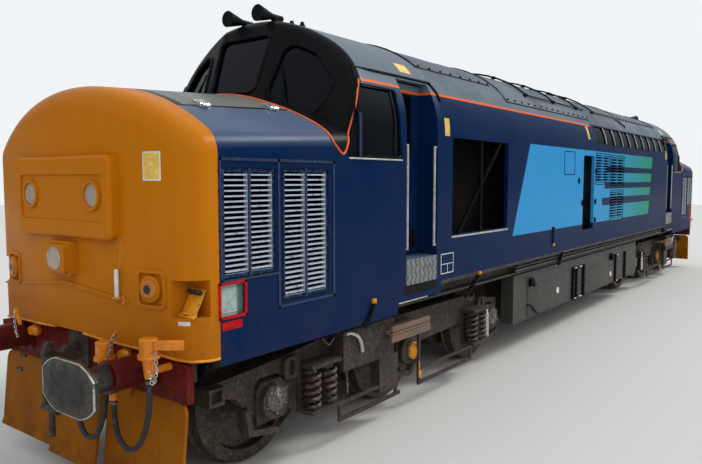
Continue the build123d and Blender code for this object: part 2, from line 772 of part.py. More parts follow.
def body_tube():
    """Body shell between the cabs, before it is parted into sides and roof."""
    outer = body_prism(-CAB_REAR_X, CAB_REAR_X, 0, SOLEBAR_TOP_Z)
    inner = body_prism(-CAB_REAR_X, CAB_REAR_X, SHELL, SOLEBAR_TOP_Z - SHELL)
    return outer - inner


def cant_holes(shrink):
    """Cantrail window openings on the left side."""
    holes = []
    for index in range(CANT_WINDOWS):
        x0 = CANT_X0 + index * CANT_PITCH
        x1 = x0 + CANT_PITCH - CANT_POST
        holes.append(
            side_slot(
                x0 + shrink, x1 - shrink, CANT_Z0 + shrink, CANT_Z1 - shrink, 1000, HALF_WIDTH + SHELL, 20
            )
        )
    return holes


def body_side():
    """Left body side up to the eaves, with its openings."""
    wall_y = HALF_WIDTH - SHELL
    side = block(-CAB_REAR_X, CAB_REAR_X, wall_y, HALF_WIDTH, SOLEBAR_TOP_Z, EAVES_Z)
    y0 = HALF_WIDTH - 3 * SHELL
    y1 = HALF_WIDTH + SHELL
    side = side - side_slot(RAD_X0, RAD_X1, RAD_Z0, RAD_Z1, y0, y1, 25)
    side = side - side_slot(ROOM_DOOR_X0, ROOM_DOOR_X1, ROOM_DOOR_Z0, ROOM_DOOR_Z1, y0, y1, ROOM_DOOR_R)
    for x0, x1, z0, z1 in SIDE_LOUVRES:
        side = side - block(x0, x1, y0, y1, z0, z1)
    for z in ROOM_HINGE_Z:
        side = side + knuckle(ROOM_PIVOT_X, ROOM_PIVOT_Y, wall_y, z)
    return side


def cantrail(tube):
    """Curved panel above the left body side, with its row of window openings."""
    lower = split(tube, bisect_by=Plane.XY.offset(CANTRAIL_Z), keep=Keep.BOTTOM)
    panel = lower & block(-CAB_REAR_X, CAB_REAR_X, 0, HALF_WIDTH, EAVES_Z, CANTRAIL_Z)
    for hole in cant_holes(0):
        panel = panel - hole
    return panel


def side_louvres():
    """Louvres in both body sides."""
    panels = []
    for x0, x1, z0, z1 in SIDE_LOUVRES:
        panel = louvre_panel(x0 + GAP, x1 - GAP, z0 + GAP, z1 - GAP, HALF_WIDTH - 2, SHELL - 4, 10)
        panels += both_sides(panel)
    return panels


def cant_glass():
    """Cantrail window panes of both sides."""
    recess = 15.0
    layer = body_prism(-CAB_REAR_X, CAB_REAR_X, recess, CANT_Z0 - SHELL) - body_prism(
        -CAB_REAR_X - SHELL, CAB_REAR_X + SHELL, recess + GLASS, CANT_Z0 - 2 * SHELL
    )
    panes = []
    for hole in cant_holes(GAP):
        panes += both_sides(layer & hole)
    return panes


def roof_shell(tube):
    """Roof from cab to cab, with the fan opening."""
    roof = split(tube, bisect_by=Plane.XY.offset(CANTRAIL_Z), keep=Keep.TOP)
    return roof - rod_z(FAN_X, 0, CANTRAIL_Z, 2 * EAVES_Z, FAN_R + FAN_TIP_GAP + FAN_COWL + GAP)


def fan_cowl():
    """Cowl ring with its guard bars and the bearing that carries the fan."""
    ring_r = FAN_R + FAN_TIP_GAP
    guard_z = FAN_Z + GUARD_RISE
    under_roof = body_prism(FAN_X - 2 * ring_r, FAN_X + 2 * ring_r, 0, SOLEBAR_TOP_Z)
    ring = rod_z(FAN_X, 0, FAN_Z - 120, 2 * EAVES_Z, ring_r + FAN_COWL) & under_roof
    ring = ring - rod_z(FAN_X, 0, FAN_Z - 200, 2 * EAVES_Z, ring_r)
    bars = []
    for index in range(-4, 5):
        x = FAN_X + index * ring_r / 5
        half = math.sqrt((ring_r + FAN_COWL / 2) ** 2 - (x - FAN_X) ** 2)
        bars.append(block(x - 6, x + 6, -half, half, guard_z, guard_z + 25))
    for y in (-ring_r / 2, 0, ring_r / 2):
        half = math.sqrt((ring_r + FAN_COWL / 2) ** 2 - y**2)
        bars.append(block(FAN_X - half, FAN_X + half, y - 6, y + 6, guard_z - 5, guard_z + 20))
    pin = rod_z(FAN_X, 0, FAN_Z - 60, guard_z, FAN_PIN_R)
    return union([ring, *bars, pin])


def fan():
    """Roof fan: hub and twisted blades, carried on the cowl's pin."""
    hub = rod_z(0, 0, -60, 60, FAN_HUB_R)
    length = FAN_R - FAN_HUB_R + 20
    blade = Pos(FAN_R - length / 2, 0, 0) * Rot(FAN_PITCH, 0, 0) * Box(length, FAN_CHORD, 10)
    blades = [Rot(0, 0, 360 / FAN_BLADES * index) * blade for index in range(FAN_BLADES)]
    rotor = union([hub, *blades]) - rod_z(0, 0, -FAN_CHORD, FAN_CHORD, FAN_PIN_R + JOURNAL_GAP)
    return Pos(FAN_X, 0, FAN_Z) * rotor


def radiators():
    """Radiator blocks behind the openings, on stools, with the brace in each opening."""
    pieces = []
    rad_x = (RAD_X0 + RAD_X1) / 2
    core = block(RAD_X0, RAD_X1, RAD_BLOCK_Y - RAD_BLOCK, RAD_BLOCK_Y, RAD_Z0 - 120, RAD_Z1 + 40)
    stool = block(RAD_X0, RAD_X1, RAD_BLOCK_Y - RAD_BLOCK, RAD_BLOCK_Y, SOLEBAR_TOP_Z, RAD_Z0 - 120)
    post = block(rad_x - 25, rad_x + 25, HALF_WIDTH - SHELL + 4, HALF_WIDTH - 8, RAD_Z0, RAD_Z1)
    brace = plate_xz(
        (
            (RAD_X0 + 150, RAD_Z1), (RAD_X0 + 210, RAD_Z1),
            (RAD_X1 - 150, RAD_Z0), (RAD_X1 - 210, RAD_Z0),
        ),
        HALF_WIDTH - SHELL + 4, HALF_WIDTH - 14,
    )
    pieces += both_sides(core + stool)
    pieces += both_sides(post + brace)
    return pieces


ENGINE_X = RAD_X0 - 750
ENGINE_Y = 600.0
ENGINE_TOP_Z = 3050.0


def engine():
    """Engine and generator as one mass on the engine-room floor."""
    return block(-ENGINE_X, ENGINE_X, -ENGINE_Y, ENGINE_Y, SOLEBAR_TOP_Z, ENGINE_TOP_Z)


def room_door(is_open):
    """Engine-room door behind the left body side, closed or swung in."""
    x0 = ROOM_DOOR_X0 - DOOR_LAP
    x1 = ROOM_DOOR_X1 + DOOR_LAP
    half = DOOR_LEAF / 2
    leaf = block(
        x0, x1, ROOM_PIVOT_Y - half, ROOM_PIVOT_Y + half, ROOM_DOOR_Z0 - DOOR_LAP, ROOM_DOOR_Z1 + DOOR_LAP
    )
    for z in ROOM_HINGE_Z:
        leaf = hinge_notch(leaf, ROOM_PIVOT_X, ROOM_PIVOT_Y, z)
    if is_open:
        pivot = Pos(ROOM_PIVOT_X, ROOM_PIVOT_Y, 0)
        leaf = pivot * Rot(0, 0, 90) * pivot.inverse() * leaf
    return leaf


# Underframe

CROSS_BEAMS_X = (
    SOLEBAR_X - 250, BOGIE_X + 1236, BOGIE_X - 1214, TANK_HANGER_X, TANK_HANGER_X / 2, 0.0
)
BEAM_HALF = 40.0
BEAM_DEPTH = 60.0


def underframe():
    """Deck, two channel solebars, cross beams and the bogie pivots."""
    deck_z = SOLEBAR_TOP_Z - DECK
    pieces = [
        block(-CAB_REAR_X, CAB_REAR_X, -HALF_WIDTH, HALF_WIDTH, deck_z, SOLEBAR_TOP_Z),
        block(-DECK_X, DECK_X, -DECK_END_Y, DECK_END_Y, deck_z, SOLEBAR_TOP_Z),
    ]
    inner_y = HALF_WIDTH - SHELL
    for end in (1, -1):
        pieces.append(block(end * CAB_REAR_X, end * SOLEBAR_X, -inner_y, inner_y, deck_z, SOLEBAR_TOP_Z))
    for side in (1, -1):
        web = block(
            -SOLEBAR_X, SOLEBAR_X, side * (SOLEBAR_Y - SOLEBAR_FLANGE),
            side * (SOLEBAR_Y - SOLEBAR_FLANGE - SOLEBAR_WEB), SOLEBAR_Z, deck_z,
        )
        foot = block(
            -SOLEBAR_X, SOLEBAR_X, side * (SOLEBAR_Y - SOLEBAR_FLANGE), side * SOLEBAR_Y,
            SOLEBAR_Z, SOLEBAR_Z + SOLEBAR_WEB,
        )
        pieces += [web, foot]
    beam_y = SOLEBAR_Y - SOLEBAR_FLANGE
    for x in sorted({sign * x for x in CROSS_BEAMS_X for sign in (1, -1)}):
        pieces.append(block(x - BEAM_HALF, x + BEAM_HALF, -beam_y, beam_y, deck_z - BEAM_DEPTH, deck_z))
    for end in (1, -1):
        pieces.append(rod_z(end * BOGIE_X, 0, FRAME_TOP_Z - 60, deck_z, PIVOT_R))
        for offset_x in (-TRANSOM_OFFSET, TRANSOM_OFFSET):
            bearer = rod_z(end * BOGIE_X + offset_x, BEARER_Y, TRANSOM_TOP_Z + GAP, deck_z, PIVOT_R)
            pieces += both_sides(bearer)
        pieces.append(block(end * BOGIE_X - 260, end * BOGIE_X + 260, -beam_y, beam_y, deck_z - 60, deck_z))
        pieces.append(block(end * DRAGBOX_X, end * DECK_X, -DRAGBOX_Y, DRAGBOX_Y, DRAGBOX_Z, deck_z))
        pieces.append(block(end * DECK_X, end * BEAM_X0, -DRAGBOX_Y, DRAGBOX_Y, DRAGBOX_Z, BEAM_Z1))
    return [union(pieces)]


def tanks():
    """Fuel and water tanks between the bogies, hung from the cross beams."""
    pieces = [block(-TANK_MID_X, TANK_MID_X, -TANK_Y1, TANK_Y1, TANK_Z0, TANK_Z1)]
    pieces += both_sides(block(-TANK_X, TANK_X, TANK_Y0, TANK_Y1, TANK_Z0, TANK_Z1))
    beam_z = SOLEBAR_TOP_Z - DECK - BEAM_DEPTH
    for x in (-TANK_HANGER_X, 0, TANK_HANGER_X):
        pieces.append(block(x - BEAM_HALF, x + BEAM_HALF, -TANK_Y0, TANK_Y0, TANK_Z1, beam_z))
    return union(pieces)


def bufferbeam():
    """Front bufferbeam plate below the nose valance, with the hook's plate."""
    run = 8.0
    left = [(min(y, BEAM_HALF_Y), z - run) for y, z in VALANCE]
    right = [(-y, z) for y, z in reversed(left)]
    beam = plate_yz(((-BEAM_HALF_Y, BEAM_Z0), *right, *left, (BEAM_HALF_Y, BEAM_Z0)), BEAM_X0, BEAM_X1)
    half = HOOK_NOTCH_HALF - run
    return beam + block(BEAM_X0, BEAM_X1, -half, half, BEAM_Z1, HOOK_NOTCH_Z - run)


def buffer():
    """Left front buffer: base plate, case with collars, ram and oval head."""
    base = front_slot(
        BUFFER_Y - BUFFER_BASE_HALF, BUFFER_Y + BUFFER_BASE_HALF, BUFFER_BASE_Z0, BUFFER_BASE_Z1,
        BEAM_X1, BEAM_X1 + BUFFER_BASE, 40,
    )
    mouth_x = BEAM_X1 + BUFFER_CASE
    case = rod_x(BEAM_X1, mouth_x, BUFFER_Y, BUFFER_Z, BUFFER_CASE_R - 8)
    collars = [
        rod_x(x, x + BUFFER_COLLAR, BUFFER_Y, BUFFER_Z, BUFFER_CASE_R)
        for x in (BEAM_X1 + BUFFER_BASE, mouth_x - BUFFER_COLLAR)
    ]
    ram = rod_x(mouth_x, END_X - BUFFER_HEAD, BUFFER_Y, BUFFER_Z, BUFFER_RAM_R)
    outline = Ellipse(0.555 * BUFFER_HEAD_W, 0.55 * BUFFER_HEAD_H) & Rectangle(BUFFER_HEAD_W, BUFFER_HEAD_H)
    head = extrude(
        Plane.YZ.offset(END_X - BUFFER_HEAD) * Pos(BUFFER_Y, BUFFER_Z) * outline, amount=BUFFER_HEAD
    )
    return union([base, case, *collars, ram, head])


HOOK_PROFILE = (
    # ahead of the beam, above the buffer height
    (0.0, -60.0), (0.0, 60.0), (130.0, 50.0), (190.0, 10.0), (235.0, 25.0), (225.0, 95.0), (290.0, 110.0),
    (320.0, 20.0), (280.0, -70.0), (180.0, -95.0),
)
HOOK_PLATE = 140.0
SHACKLE_OUT = 262.0
SHACKLE_DROP = 25.0
SHACKLE_Y = 95.0
LINK_LENGTH = 395.0
LINK = 40.0
BOB_LENGTH = 220.0


def coupling():
    """Drawhook with a shackle and screw that hang from it."""
    hook = plate_xz(tuple((BEAM_X1 + x, BUFFER_Z + z) for x, z in HOOK_PROFILE), -HOOK_T / 2, HOOK_T / 2)
    low = BUFFER_Z - HOOK_PLATE
    plate = front_slot(
        -HOOK_PLATE, HOOK_PLATE, low, BUFFER_Z + HOOK_PLATE, BEAM_X1, BEAM_X1 + 25, 40
    )
    x = BEAM_X1 + SHACKLE_OUT
    top = BUFFER_Z - SHACKLE_DROP
    foot = top - LINK_LENGTH
    pin = rod_y(x, -SHACKLE_Y, SHACKLE_Y, top, LINK / 2)
    link = block(x - LINK / 2, x + LINK / 2, SHACKLE_Y - LINK, SHACKLE_Y, foot, top)
    screw = rod_y(x, -SHACKLE_Y - 15, SHACKLE_Y + 15, foot, 30)
    bob = rod_z(x, 0, foot - BOB_LENGTH, foot, 24)
    return [union([hook, plate, pin, *both_sides(link), screw, bob])]


PLOUGH_TOP_Z = 850.0
PLOUGH_LOW_Z = 170.0
PLOUGH_PLATE = 25.0
PLOUGH_BLADES = (
    # x of the top ahead of the beam's rear face, y0, y1, y0 of the stay, y1 of the stay
    (80.0, -330.0, 330.0, 250.0, 300.0),
    (15.0, 345.0, 1275.0, 600.0, 660.0),
)
PLOUGH_CORNER_R = 90.0


def snowplough():
    """Three-part plough below the front bufferbeam, each part on its stays."""
    top = PLOUGH_TOP_Z
    low = PLOUGH_LOW_Z
    plates = []
    rounding = front_slot(
        -PLOUGH_BLADES[-1][2], PLOUGH_BLADES[-1][2], -top, top, BEAM_X0 - SHELL, END_X, PLOUGH_CORNER_R
    )
    for ahead, y0, y1, stay_y0, stay_y1 in PLOUGH_BLADES:
        x = BEAM_X0 + ahead
        blade = rounding & plate_xz(
            (
                (x, top), (x + PLOUGH_PLATE, top), (x + 90, low + 60), (x + 110, low), (x + 85, low),
                (x + 50, low + 200),
            ),
            y0, y1,
        )
        stay = block(BEAM_X0, x + 15, stay_y0, stay_y1, top - 220, BEAM_Z0)
        stay = stay + block(BEAM_X0, BEAM_X1, stay_y0, stay_y1, top - 60, BEAM_Z0)
        if y0 < 0:
            plates.append(union([blade, *both_sides(stay)]))
        else:
            plates += both_sides(blade + stay)
    return plates


# Bogies

def wheelset(x):
    """Two wheels pressed on an axle, turned as one profile."""
    inner = BACK_TO_BACK / 2
    outer = inner + RIM_WIDTH
    tread = WHEEL_D / 2
    half = [
        # radius, y
        (AXLE_R, 0.0),
        (AXLE_R, inner - 20),
        (140.0, inner - 20),
        (155.0, inner + 45),
        (455.0, inner + 35),
        (460.0, inner),
        (tread + FLANGE_DEPTH - 12, inner),
        (tread + FLANGE_DEPTH, inner + 18),
        (tread + 2, inner + 38),
        (tread - 4, outer),
        (470.0, outer),
        (455.0, inner + 75),
        (155.0, inner + 85),
        (140.0, outer + 15),
        (JOURNAL_R, outer + 15),
        (JOURNAL_R, AXLE_HALF),
        (0.0, AXLE_HALF),
    ]
    points = [*half, *((radius, -y) for radius, y in reversed(half[1:]))]
    return Pos(x, 0, AXLE_Z) * revolve(make_face(Polyline(*points, close=True)), axis=Axis.Y)


def arched(x, low, top, half, y0, y1):
    """Upright block with cut upper corners, about a station."""
    corner = AXLEBOX_CORNER
    return plate_xz(
        (
            (x - half, low), (x - half, top - corner), (x - half + corner, top),
            (x + half - corner, top), (x + half, top - corner), (x + half, low),
        ),
        y0, y1,
    )


def axlebox(x):
    """Axlebox on the left, with its round cover and the journal's bearing bore."""
    top = AXLE_Z + AXLEBOX_HALF
    low = AXLE_Z - AXLEBOX_HALF
    case = arched(x, low, top, AXLEBOX_HALF, AXLEBOX_Y0, AXLEBOX_Y1 - 60)
    cover = rod_y(x, AXLEBOX_Y1 - 60, AXLEBOX_Y1, AXLE_Z, AXLEBOX_COVER_R)
    cover = fillet(cover.faces().sort_by(Axis.Y)[-1].edges(), 12)
    bore = rod_y(x, AXLEBOX_Y0 - 10, AXLE_HALF + 2, AXLE_Z, JOURNAL_R + JOURNAL_GAP)
    return case + cover - bore


HANGER = (
    # x0, x1 from the axle on the bogie's inner side, z0, z1
    -335.0, -150.0, 700.0, 890.0,
)
HANGER_PLATE = 45.0
HANGER_HOLE = (35.0, 68.0)
KEEP_BAR = (
    # x, z from the axle
    (300.0, -20.0), (262.0, -235.0), (-95.0, -305.0), (-290.0, -175.0), (-250.0, -150.0), (-80.0, -252.0),
    (215.0, -190.0), (250.0, -20.0),
)
KEEP_BAR_Y = 1100.0
LUG = 150.0
LUG_RIM = 25.0
LUG_Y = 1140.0


def keep_bar(x, way):
    """Bar under an axlebox that ties its horns together."""
    points = tuple((x + way * ahead, AXLE_Z + up) for ahead, up in KEEP_BAR)
    return plate_xz(points, FRAME_Y1 - 20, KEEP_BAR_Y)


def hanger(x, way):
    """Bracket beside an outer axlebox, with its oval hole."""
    x0, x1, z0, z1 = HANGER
    start = min(x + way * x0, x + way * x1)
    plate = side_slot(start, start + x1 - x0, z0, z1, FRAME_Y1 - 20, FRAME_Y1 + HANGER_PLATE, 40)
    middle = Pos(start + (x1 - x0) / 2, (z0 + z1) / 2)
    hole = extrude(Plane.XZ.offset(-FRAME_Y1) * middle * Ellipse(*HANGER_HOLE), amount=-2 * HANGER_PLATE)
    return plate - hole


def end_lug(centre, out):
    """Hollow square lug on the outer end of a side frame."""
    x0 = centre + out * (FRAME_OUT - LUG)
    x1 = centre + out * FRAME_OUT
    lug = block(x0, x1, FRAME_Y1 - 20, LUG_Y, FRAME_END_Z0, FRAME_END_Z1)
    recess = block(
        x0 + out * LUG_RIM, x1 - out * LUG_RIM, FRAME_Y1 + LUG_RIM, LUG_Y + LUG_RIM,
        FRAME_END_Z0 + LUG_RIM, FRAME_END_Z1 - LUG_RIM,
    )
    return lug - recess


def side_frame(centre, out):
    """Left bogie side frame with horns round the axleboxes. out is the way to the end of the locomotive."""
    top = FRAME_TOP_Z
    low = FRAME_LOW_Z
    outer_x = AXLE_PITCH + HORN_HALF
    points = (
        (-FRAME_IN, low), (-FRAME_IN, top - 150), (-FRAME_NECK, top - 90), (-FRAME_SHOULDER, top),
        (FRAME_SHOULDER, top), (FRAME_NECK, top - 60), (outer_x, top - 90), (FRAME_OUT, FRAME_END_Z1),
        (FRAME_OUT, FRAME_END_Z0), (outer_x + 230, FRAME_END_Z0), (outer_x + 110, FRAME_END_Z0 - 35),
        (outer_x + 40, low), (AXLE_PITCH, low), (FRAME_SHOULDER, low + 50), (0.0, low),
        (-FRAME_SHOULDER, low + 50), (-AXLE_PITCH, low),
    )
    plate = plate_xz(tuple((centre + out * x, z) for x, z in points), FRAME_Y0, FRAME_Y1)
    for offset_x in (-AXLE_PITCH, 0.0, AXLE_PITCH):
        x = centre + offset_x
        horn = block(x - HORN_HALF, x + HORN_HALF, FRAME_Y0, FRAME_Y1, HORN_LOW_Z, low + 50)
        gap = arched(
            x, HORN_LOW_Z - SHELL, AXLE_Z + AXLEBOX_HALF + AXLEBOX_RISE, AXLEBOX_HALF + GAP,
            FRAME_Y0 - SHELL, FRAME_Y1 + SHELL,
        )
        way = 1 if offset_x >= 0 else -1
        plate = plate + horn - gap + keep_bar(x, way)
        if offset_x:
            plate = plate + hanger(x, way)
    return plate + end_lug(centre, out)


def bogie_frame(end):
    """Two side frames, two transoms, the headstock and the beam with the pivot bore."""
    centre = end * BOGIE_X
    frame = side_frame(centre, end)
    pieces = [frame, across(frame)]
    for offset_x in (-TRANSOM_OFFSET, TRANSOM_OFFSET):
        x = centre + offset_x
        pieces.append(
            block(x - TRANSOM_HALF, x + TRANSOM_HALF, -FRAME_Y0, FRAME_Y0, TRANSOM_LOW_Z, TRANSOM_TOP_Z)
        )
    head = centre + end * FRAME_OUT
    pieces.append(block(head, head - end * HEADSTOCK, -FRAME_Y0, FRAME_Y0, FRAME_END_Z0, FRAME_END_Z1))
    pieces.append(
        block(
            centre - TRANSOM_OFFSET, centre + TRANSOM_OFFSET, -BOLSTER_Y, BOLSTER_Y,
            TRANSOM_TOP_Z - 60, BOLSTER_TOP_Z,
        )
    )
    bore = rod_z(centre, 0, 0, SOLEBAR_TOP_Z, PIVOT_R + GAP)
    return [union(pieces) - bore]


MOTOR_HALF_Y = 590.0
MOTOR_CASE = (
    # x, z from the axle
    (110.0, -150.0), (110.0, 90.0), (230.0, 225.0), (560.0, 225.0), (720.0, 110.0), (720.0, -170.0),
    (600.0, -330.0), (300.0, -330.0),
)
MOTOR_SLEEVE_R = 140.0
MOTOR_NOSE_X = 600.0
MOTOR_NOSE_Y = 160.0
MOTOR_NOSE_Z0 = 700.0
MOTOR_NOSE_Z1 = 760.0


def motor(x, way, transom_x):
    """Traction motor carried on its axle and by its nose on a transom."""
    case = plate_xz(
        tuple((x + way * ahead, AXLE_Z + up) for ahead, up in MOTOR_CASE), -MOTOR_HALF_Y, MOTOR_HALF_Y
    )
    sleeve = rod_y(x, -MOTOR_HALF_Y, MOTOR_HALF_Y, AXLE_Z, MOTOR_SLEEVE_R)
    nose = block(
        x + way * MOTOR_NOSE_X, transom_x, -MOTOR_NOSE_Y, MOTOR_NOSE_Y, MOTOR_NOSE_Z0, MOTOR_NOSE_Z1
    )
    bore = rod_y(x, -MOTOR_HALF_Y - SHELL, MOTOR_HALF_Y + SHELL, AXLE_Z, AXLE_R + JOURNAL_GAP)
    return case + sleeve + nose - bore


def motors(end):
    """The three traction motors of one bogie, each between its axle and the next transom."""
    centre = end * BOGIE_X
    near = TRANSOM_OFFSET - TRANSOM_HALF
    far = TRANSOM_OFFSET + TRANSOM_HALF
    return [
        motor(centre + AXLE_PITCH, -1, centre + far),
        motor(centre, 1, centre + near),
        motor(centre - AXLE_PITCH, 1, centre - far),
    ]


def spring(x):
    """Coil spring as a turned stack of coils, between its seat and the shelf above."""
    coils = 5
    height = SPRING_Z1 - SPRING_Z0
    pitch = height / coils
    points = [(0.0, 0.0)]
    for index in range(coils):
        points.append((SPRING_R - 25, index * pitch + 2))
        points.append((SPRING_R, (index + 0.5) * pitch))
    points += [(SPRING_R - 25, height - 2), (0.0, height)]
    return Pos(x, SPRING_Y + SPRING_R, SPRING_Z0) * revolve(
        Plane.XZ * make_face(Polyline(*points, close=True)), axis=Axis.Z
    )


def springs(end):
    """The eight coil springs of one bogie."""
    pieces = []
    for offset_x in SPRINGS_AT:
        for half in (1, -1):
            pieces += both_sides(spring(end * BOGIE_X + half * offset_x))
    return pieces


def axleboxes(end):
    """The six axleboxes of one bogie."""
    pieces = []
    for offset_x in (-AXLE_PITCH, 0.0, AXLE_PITCH):
        pieces += both_sides(axlebox(end * BOGIE_X + offset_x))
    return pieces


SPRING_SEAT = 35.0
TRAY_X = SPRINGS_AT[0] - SPRING_R - 5
SANDBOX = (
    # x0, x1 from the bogie's centre towards its outer end, z0, z1
    440.0, TRAY_X - 46, 640.0, 1025.0,
)
SANDBOX_Y = 1240.0
STEP_BOX = (350.0, 680.0, 290.0, 640.0)
STEP_BARS = (
    # x0, x1, z0, z1 of the bars and straps between the footsteps and the spring seats
    (670.0, TRAY_X + 10, 345.0, 375.0), (670.0, TRAY_X, 190.0, 225.0),
    (TRAY_X - 40, TRAY_X, 190.0, 375.0), (-TRAY_X - 10, -60.0, 345.0, 375.0),
    (-TRAY_X, -60.0, 190.0, 225.0), (-TRAY_X, 40 - TRAY_X, 190.0, 375.0),
    (-100.0, -60.0, 190.0, 870.0), (300.0, 680.0, 190.0, 225.0), (350.0, 390.0, 190.0, 300.0),
)
STEP_BAR = 24.0
STEP_BAR_Y = 1215.0
TOP_STEP = (-100.0, 460.0, 830.0, 870.0)


def spring_bracket(centre, half):
    """Seat and shelf of a pair of springs, on a web against the side frame."""
    x0 = centre + half * TRAY_X
    x1 = centre + half * (SPRINGS_AT[1] + SPRINGS_AT[0] - TRAY_X)
    y1 = SPRING_Y + 2 * SPRING_R
    tray = block(x0, x1, FRAME_Y1, y1, SPRING_Z0 - SPRING_SEAT, SPRING_Z0)
    shelf = block(x0, x1, FRAME_Y1, y1, SPRING_Z1, SPRING_Z1 + SPRING_SEAT)
    web = block(x0, x1, FRAME_Y1, FRAME_Y1 + 20, SPRING_Z0 - SPRING_SEAT, SPRING_Z1 + SPRING_SEAT)
    return union([tray, shelf, web])


def sandbox(centre, out):
    """Sandbox with the footsteps that hang below it."""
    x0, x1, z0, z1 = SANDBOX
    case = block(centre + out * x0, centre + out * x1, FRAME_Y1, SANDBOX_Y, z0, z1)
    case = fillet(case.edges().filter_by(Axis.X), 18)
    x0, x1, z0, z1 = STEP_BOX
    low = block(centre + out * x0, centre + out * x1, FRAME_Y1 + 60, SANDBOX_Y - 10, z0, z1 + 10)
    x0, x1, z0, z1 = TOP_STEP
    step = block(centre + out * x0, centre + out * x1, FRAME_Y1, SANDBOX_Y + 60, z0, z1)
    y0 = STEP_BAR_Y - STEP_BAR / 2
    bars = [
        block(centre + out * x0, centre + out * x1, y0, y0 + STEP_BAR, z0, z1)
        for x0, x1, z0, z1 in STEP_BARS
    ]
    return union([case, low, step, *bars])


def bogie_beams(end):
    """Spring brackets, sandboxes and footsteps outside the side frames."""
    centre = end * BOGIE_X
    side = union([sandbox(centre, end), spring_bracket(centre, end), spring_bracket(centre, -end)])
    return both_sides(side)


# Small fittings

HANDRAIL_LOW_Z = DOOR_SILL_Z + 100
HANDRAIL_TOP_Z = 2750.0
HANDRAIL_R = 14.0
HANDRAIL_CLIP = 16.0
STEP_LOW_Z = DOOR_SKIRT_Z + 160


def handrails():
    """Handrails at both edges of each cab door."""
    rails = []
    y = HALF_WIDTH - 15
    half = HANDRAIL_CLIP / 2
    for x, jamb in ((DOOR_X0 + 40, DOOR_X0), (DOOR_X1 - 40, DOOR_X1)):
        bar = rod_z(x, y, HANDRAIL_LOW_Z, HANDRAIL_TOP_Z, HANDRAIL_R)
        ends = [
            block(min(x, jamb), max(x, jamb), y - half, y + half, z, z + HANDRAIL_CLIP)
            for z in (HANDRAIL_LOW_Z, HANDRAIL_TOP_Z - HANDRAIL_CLIP)
        ]
        rails.append(union([bar, *ends]))
    return rails


def door_steps():
    """Chequered sill plate below each cab door."""
    return block(DOOR_X0, DOOR_X1, HALF_WIDTH, HALF_WIDTH + 4, STEP_LOW_Z, DOOR_SILL_Z)


HORN_Y = 210.0
HORN_Z = 4005.0
HORN_BELL_R = 80.0
HORN_PIPE_R = 30.0
HORN_MOUTH_X = CAB_FRONT_X - 230
HORN_THROAT_X = HORN_MOUTH_X - 200
HORN_REAR_X = HORN_THROAT_X - 140


def horns():
    """Two horns on the cab roof, bells forward."""
    bell = Plane.YZ.offset(HORN_MOUTH_X) * Pos(HORN_Y, HORN_Z) * Circle(HORN_BELL_R)
    throat = Plane.YZ.offset(HORN_THROAT_X) * Pos(HORN_Y, HORN_Z) * Circle(HORN_PIPE_R)
    horn = loft([throat, bell]) + rod_x(HORN_REAR_X, HORN_THROAT_X, HORN_Y, HORN_Z, HORN_PIPE_R)
    foot = block(HORN_REAR_X + 40, HORN_REAR_X + 120, HORN_Y - 30, HORN_Y + 30, HORN_Z - 100, HORN_Z)
    roof = body_prism(HORN_REAR_X, HORN_THROAT_X, 0, SOLEBAR_TOP_Z)
    return both_sides(horn + (foot - roof))


def lamps():
    """Lenses of the marker, tail and head lamps, domed and seated in the nose front."""
    pieces = []
    dome = 12.0
    seat_x = NOSE_FRONT_X + HEADCODE_PROUD - PANEL_DEPTH - LENS_SEAT
    for side in (1, -1):
        marker = rod_x(seat_x + GAP, seat_x + LENS_SEAT + dome, side * MARKER_Y, MARKER_Z, MARKER_R - GAP)
        pieces.append(fillet(marker.faces().sort_by(Axis.X)[-1].edges(), dome))
        plane = nose_plane(side * TAIL_Y, TAIL_Z)
        tail = on_plane(plane, Circle(TAIL_R - GAP), GAP, TAIL_RING + dome)
        pieces.append(fillet(tail.faces().sort_by(Axis.X)[-1].edges(), dome))
    seat_x = NOSE_FRONT_X + HEADLIGHT_OUT - LENS_SEAT
    middle_z = (HEADLIGHT_Z0 + HEADLIGHT_Z1) / 2
    head = rod_x(seat_x + GAP, seat_x + LENS_SEAT + dome, 0, middle_z, HEADLIGHT_R - GAP)
    pieces.append(fillet(head.faces().sort_by(Axis.X)[-1].edges(), dome))
    return pieces


# Hoses: points from the cock down and round to the dummy bracket

OUTER_HOSE = (
    # ahead of the beam, y, z
    (170.0, 1130.0, 1060.0), (170.0, 1130.0, 930.0), (176.0, 1117.0, 790.0), (183.0, 1076.0, 655.0),
    (186.0, 1000.0, 550.0), (184.0, 900.0, 502.0), (178.0, 798.0, 520.0), (170.0, 724.0, 595.0),
    (164.0, 690.0, 700.0), (164.0, 690.0, 820.0),
)
INNER_HOSE = (
    # ahead of the beam, y, z
    (170.0, 600.0, 960.0), (170.0, 600.0, 840.0), (177.0, 588.0, 715.0), (183.0, 550.0, 595.0),
    (186.0, 480.0, 505.0), (184.0, 392.0, 468.0), (178.0, 300.0, 490.0), (170.0, 236.0, 562.0),
    (164.0, 205.0, 660.0), (164.0, 205.0, 770.0),
)
COCK_TAPER = 140.0
COCK_FOOT_R = 32.0
COCK_BODY_R = 50.0
COCK_FLANGE_R = 76.0
COCK_FLANGE = 25.0
COCK_CAP_R = 63.0
COCK_CAP = 110.0
COCK_PIPE_R = 26.0
COCK_PIPE_RISE = 45.0


def at_beam(points):
    """Points given ahead of the bufferbeam's face, in the locomotive's frame."""
    return [(BEAM_X1 + ahead, y, z) for ahead, y, z in points]


def hose_radii(points):
    """Bend radius at each inner point: 0.45 of the shorter run over the tangent of half the turn."""
    radii = []
    for before, here, after in zip(points, points[1:], points[2:]):
        first = Vector(*here) - Vector(*before)
        second = Vector(*after) - Vector(*here)
        turn = math.radians(first.get_angle(second))
        radii.append(0.45 * min(first.length, second.length) / math.tan(turn / 2))
    return radii


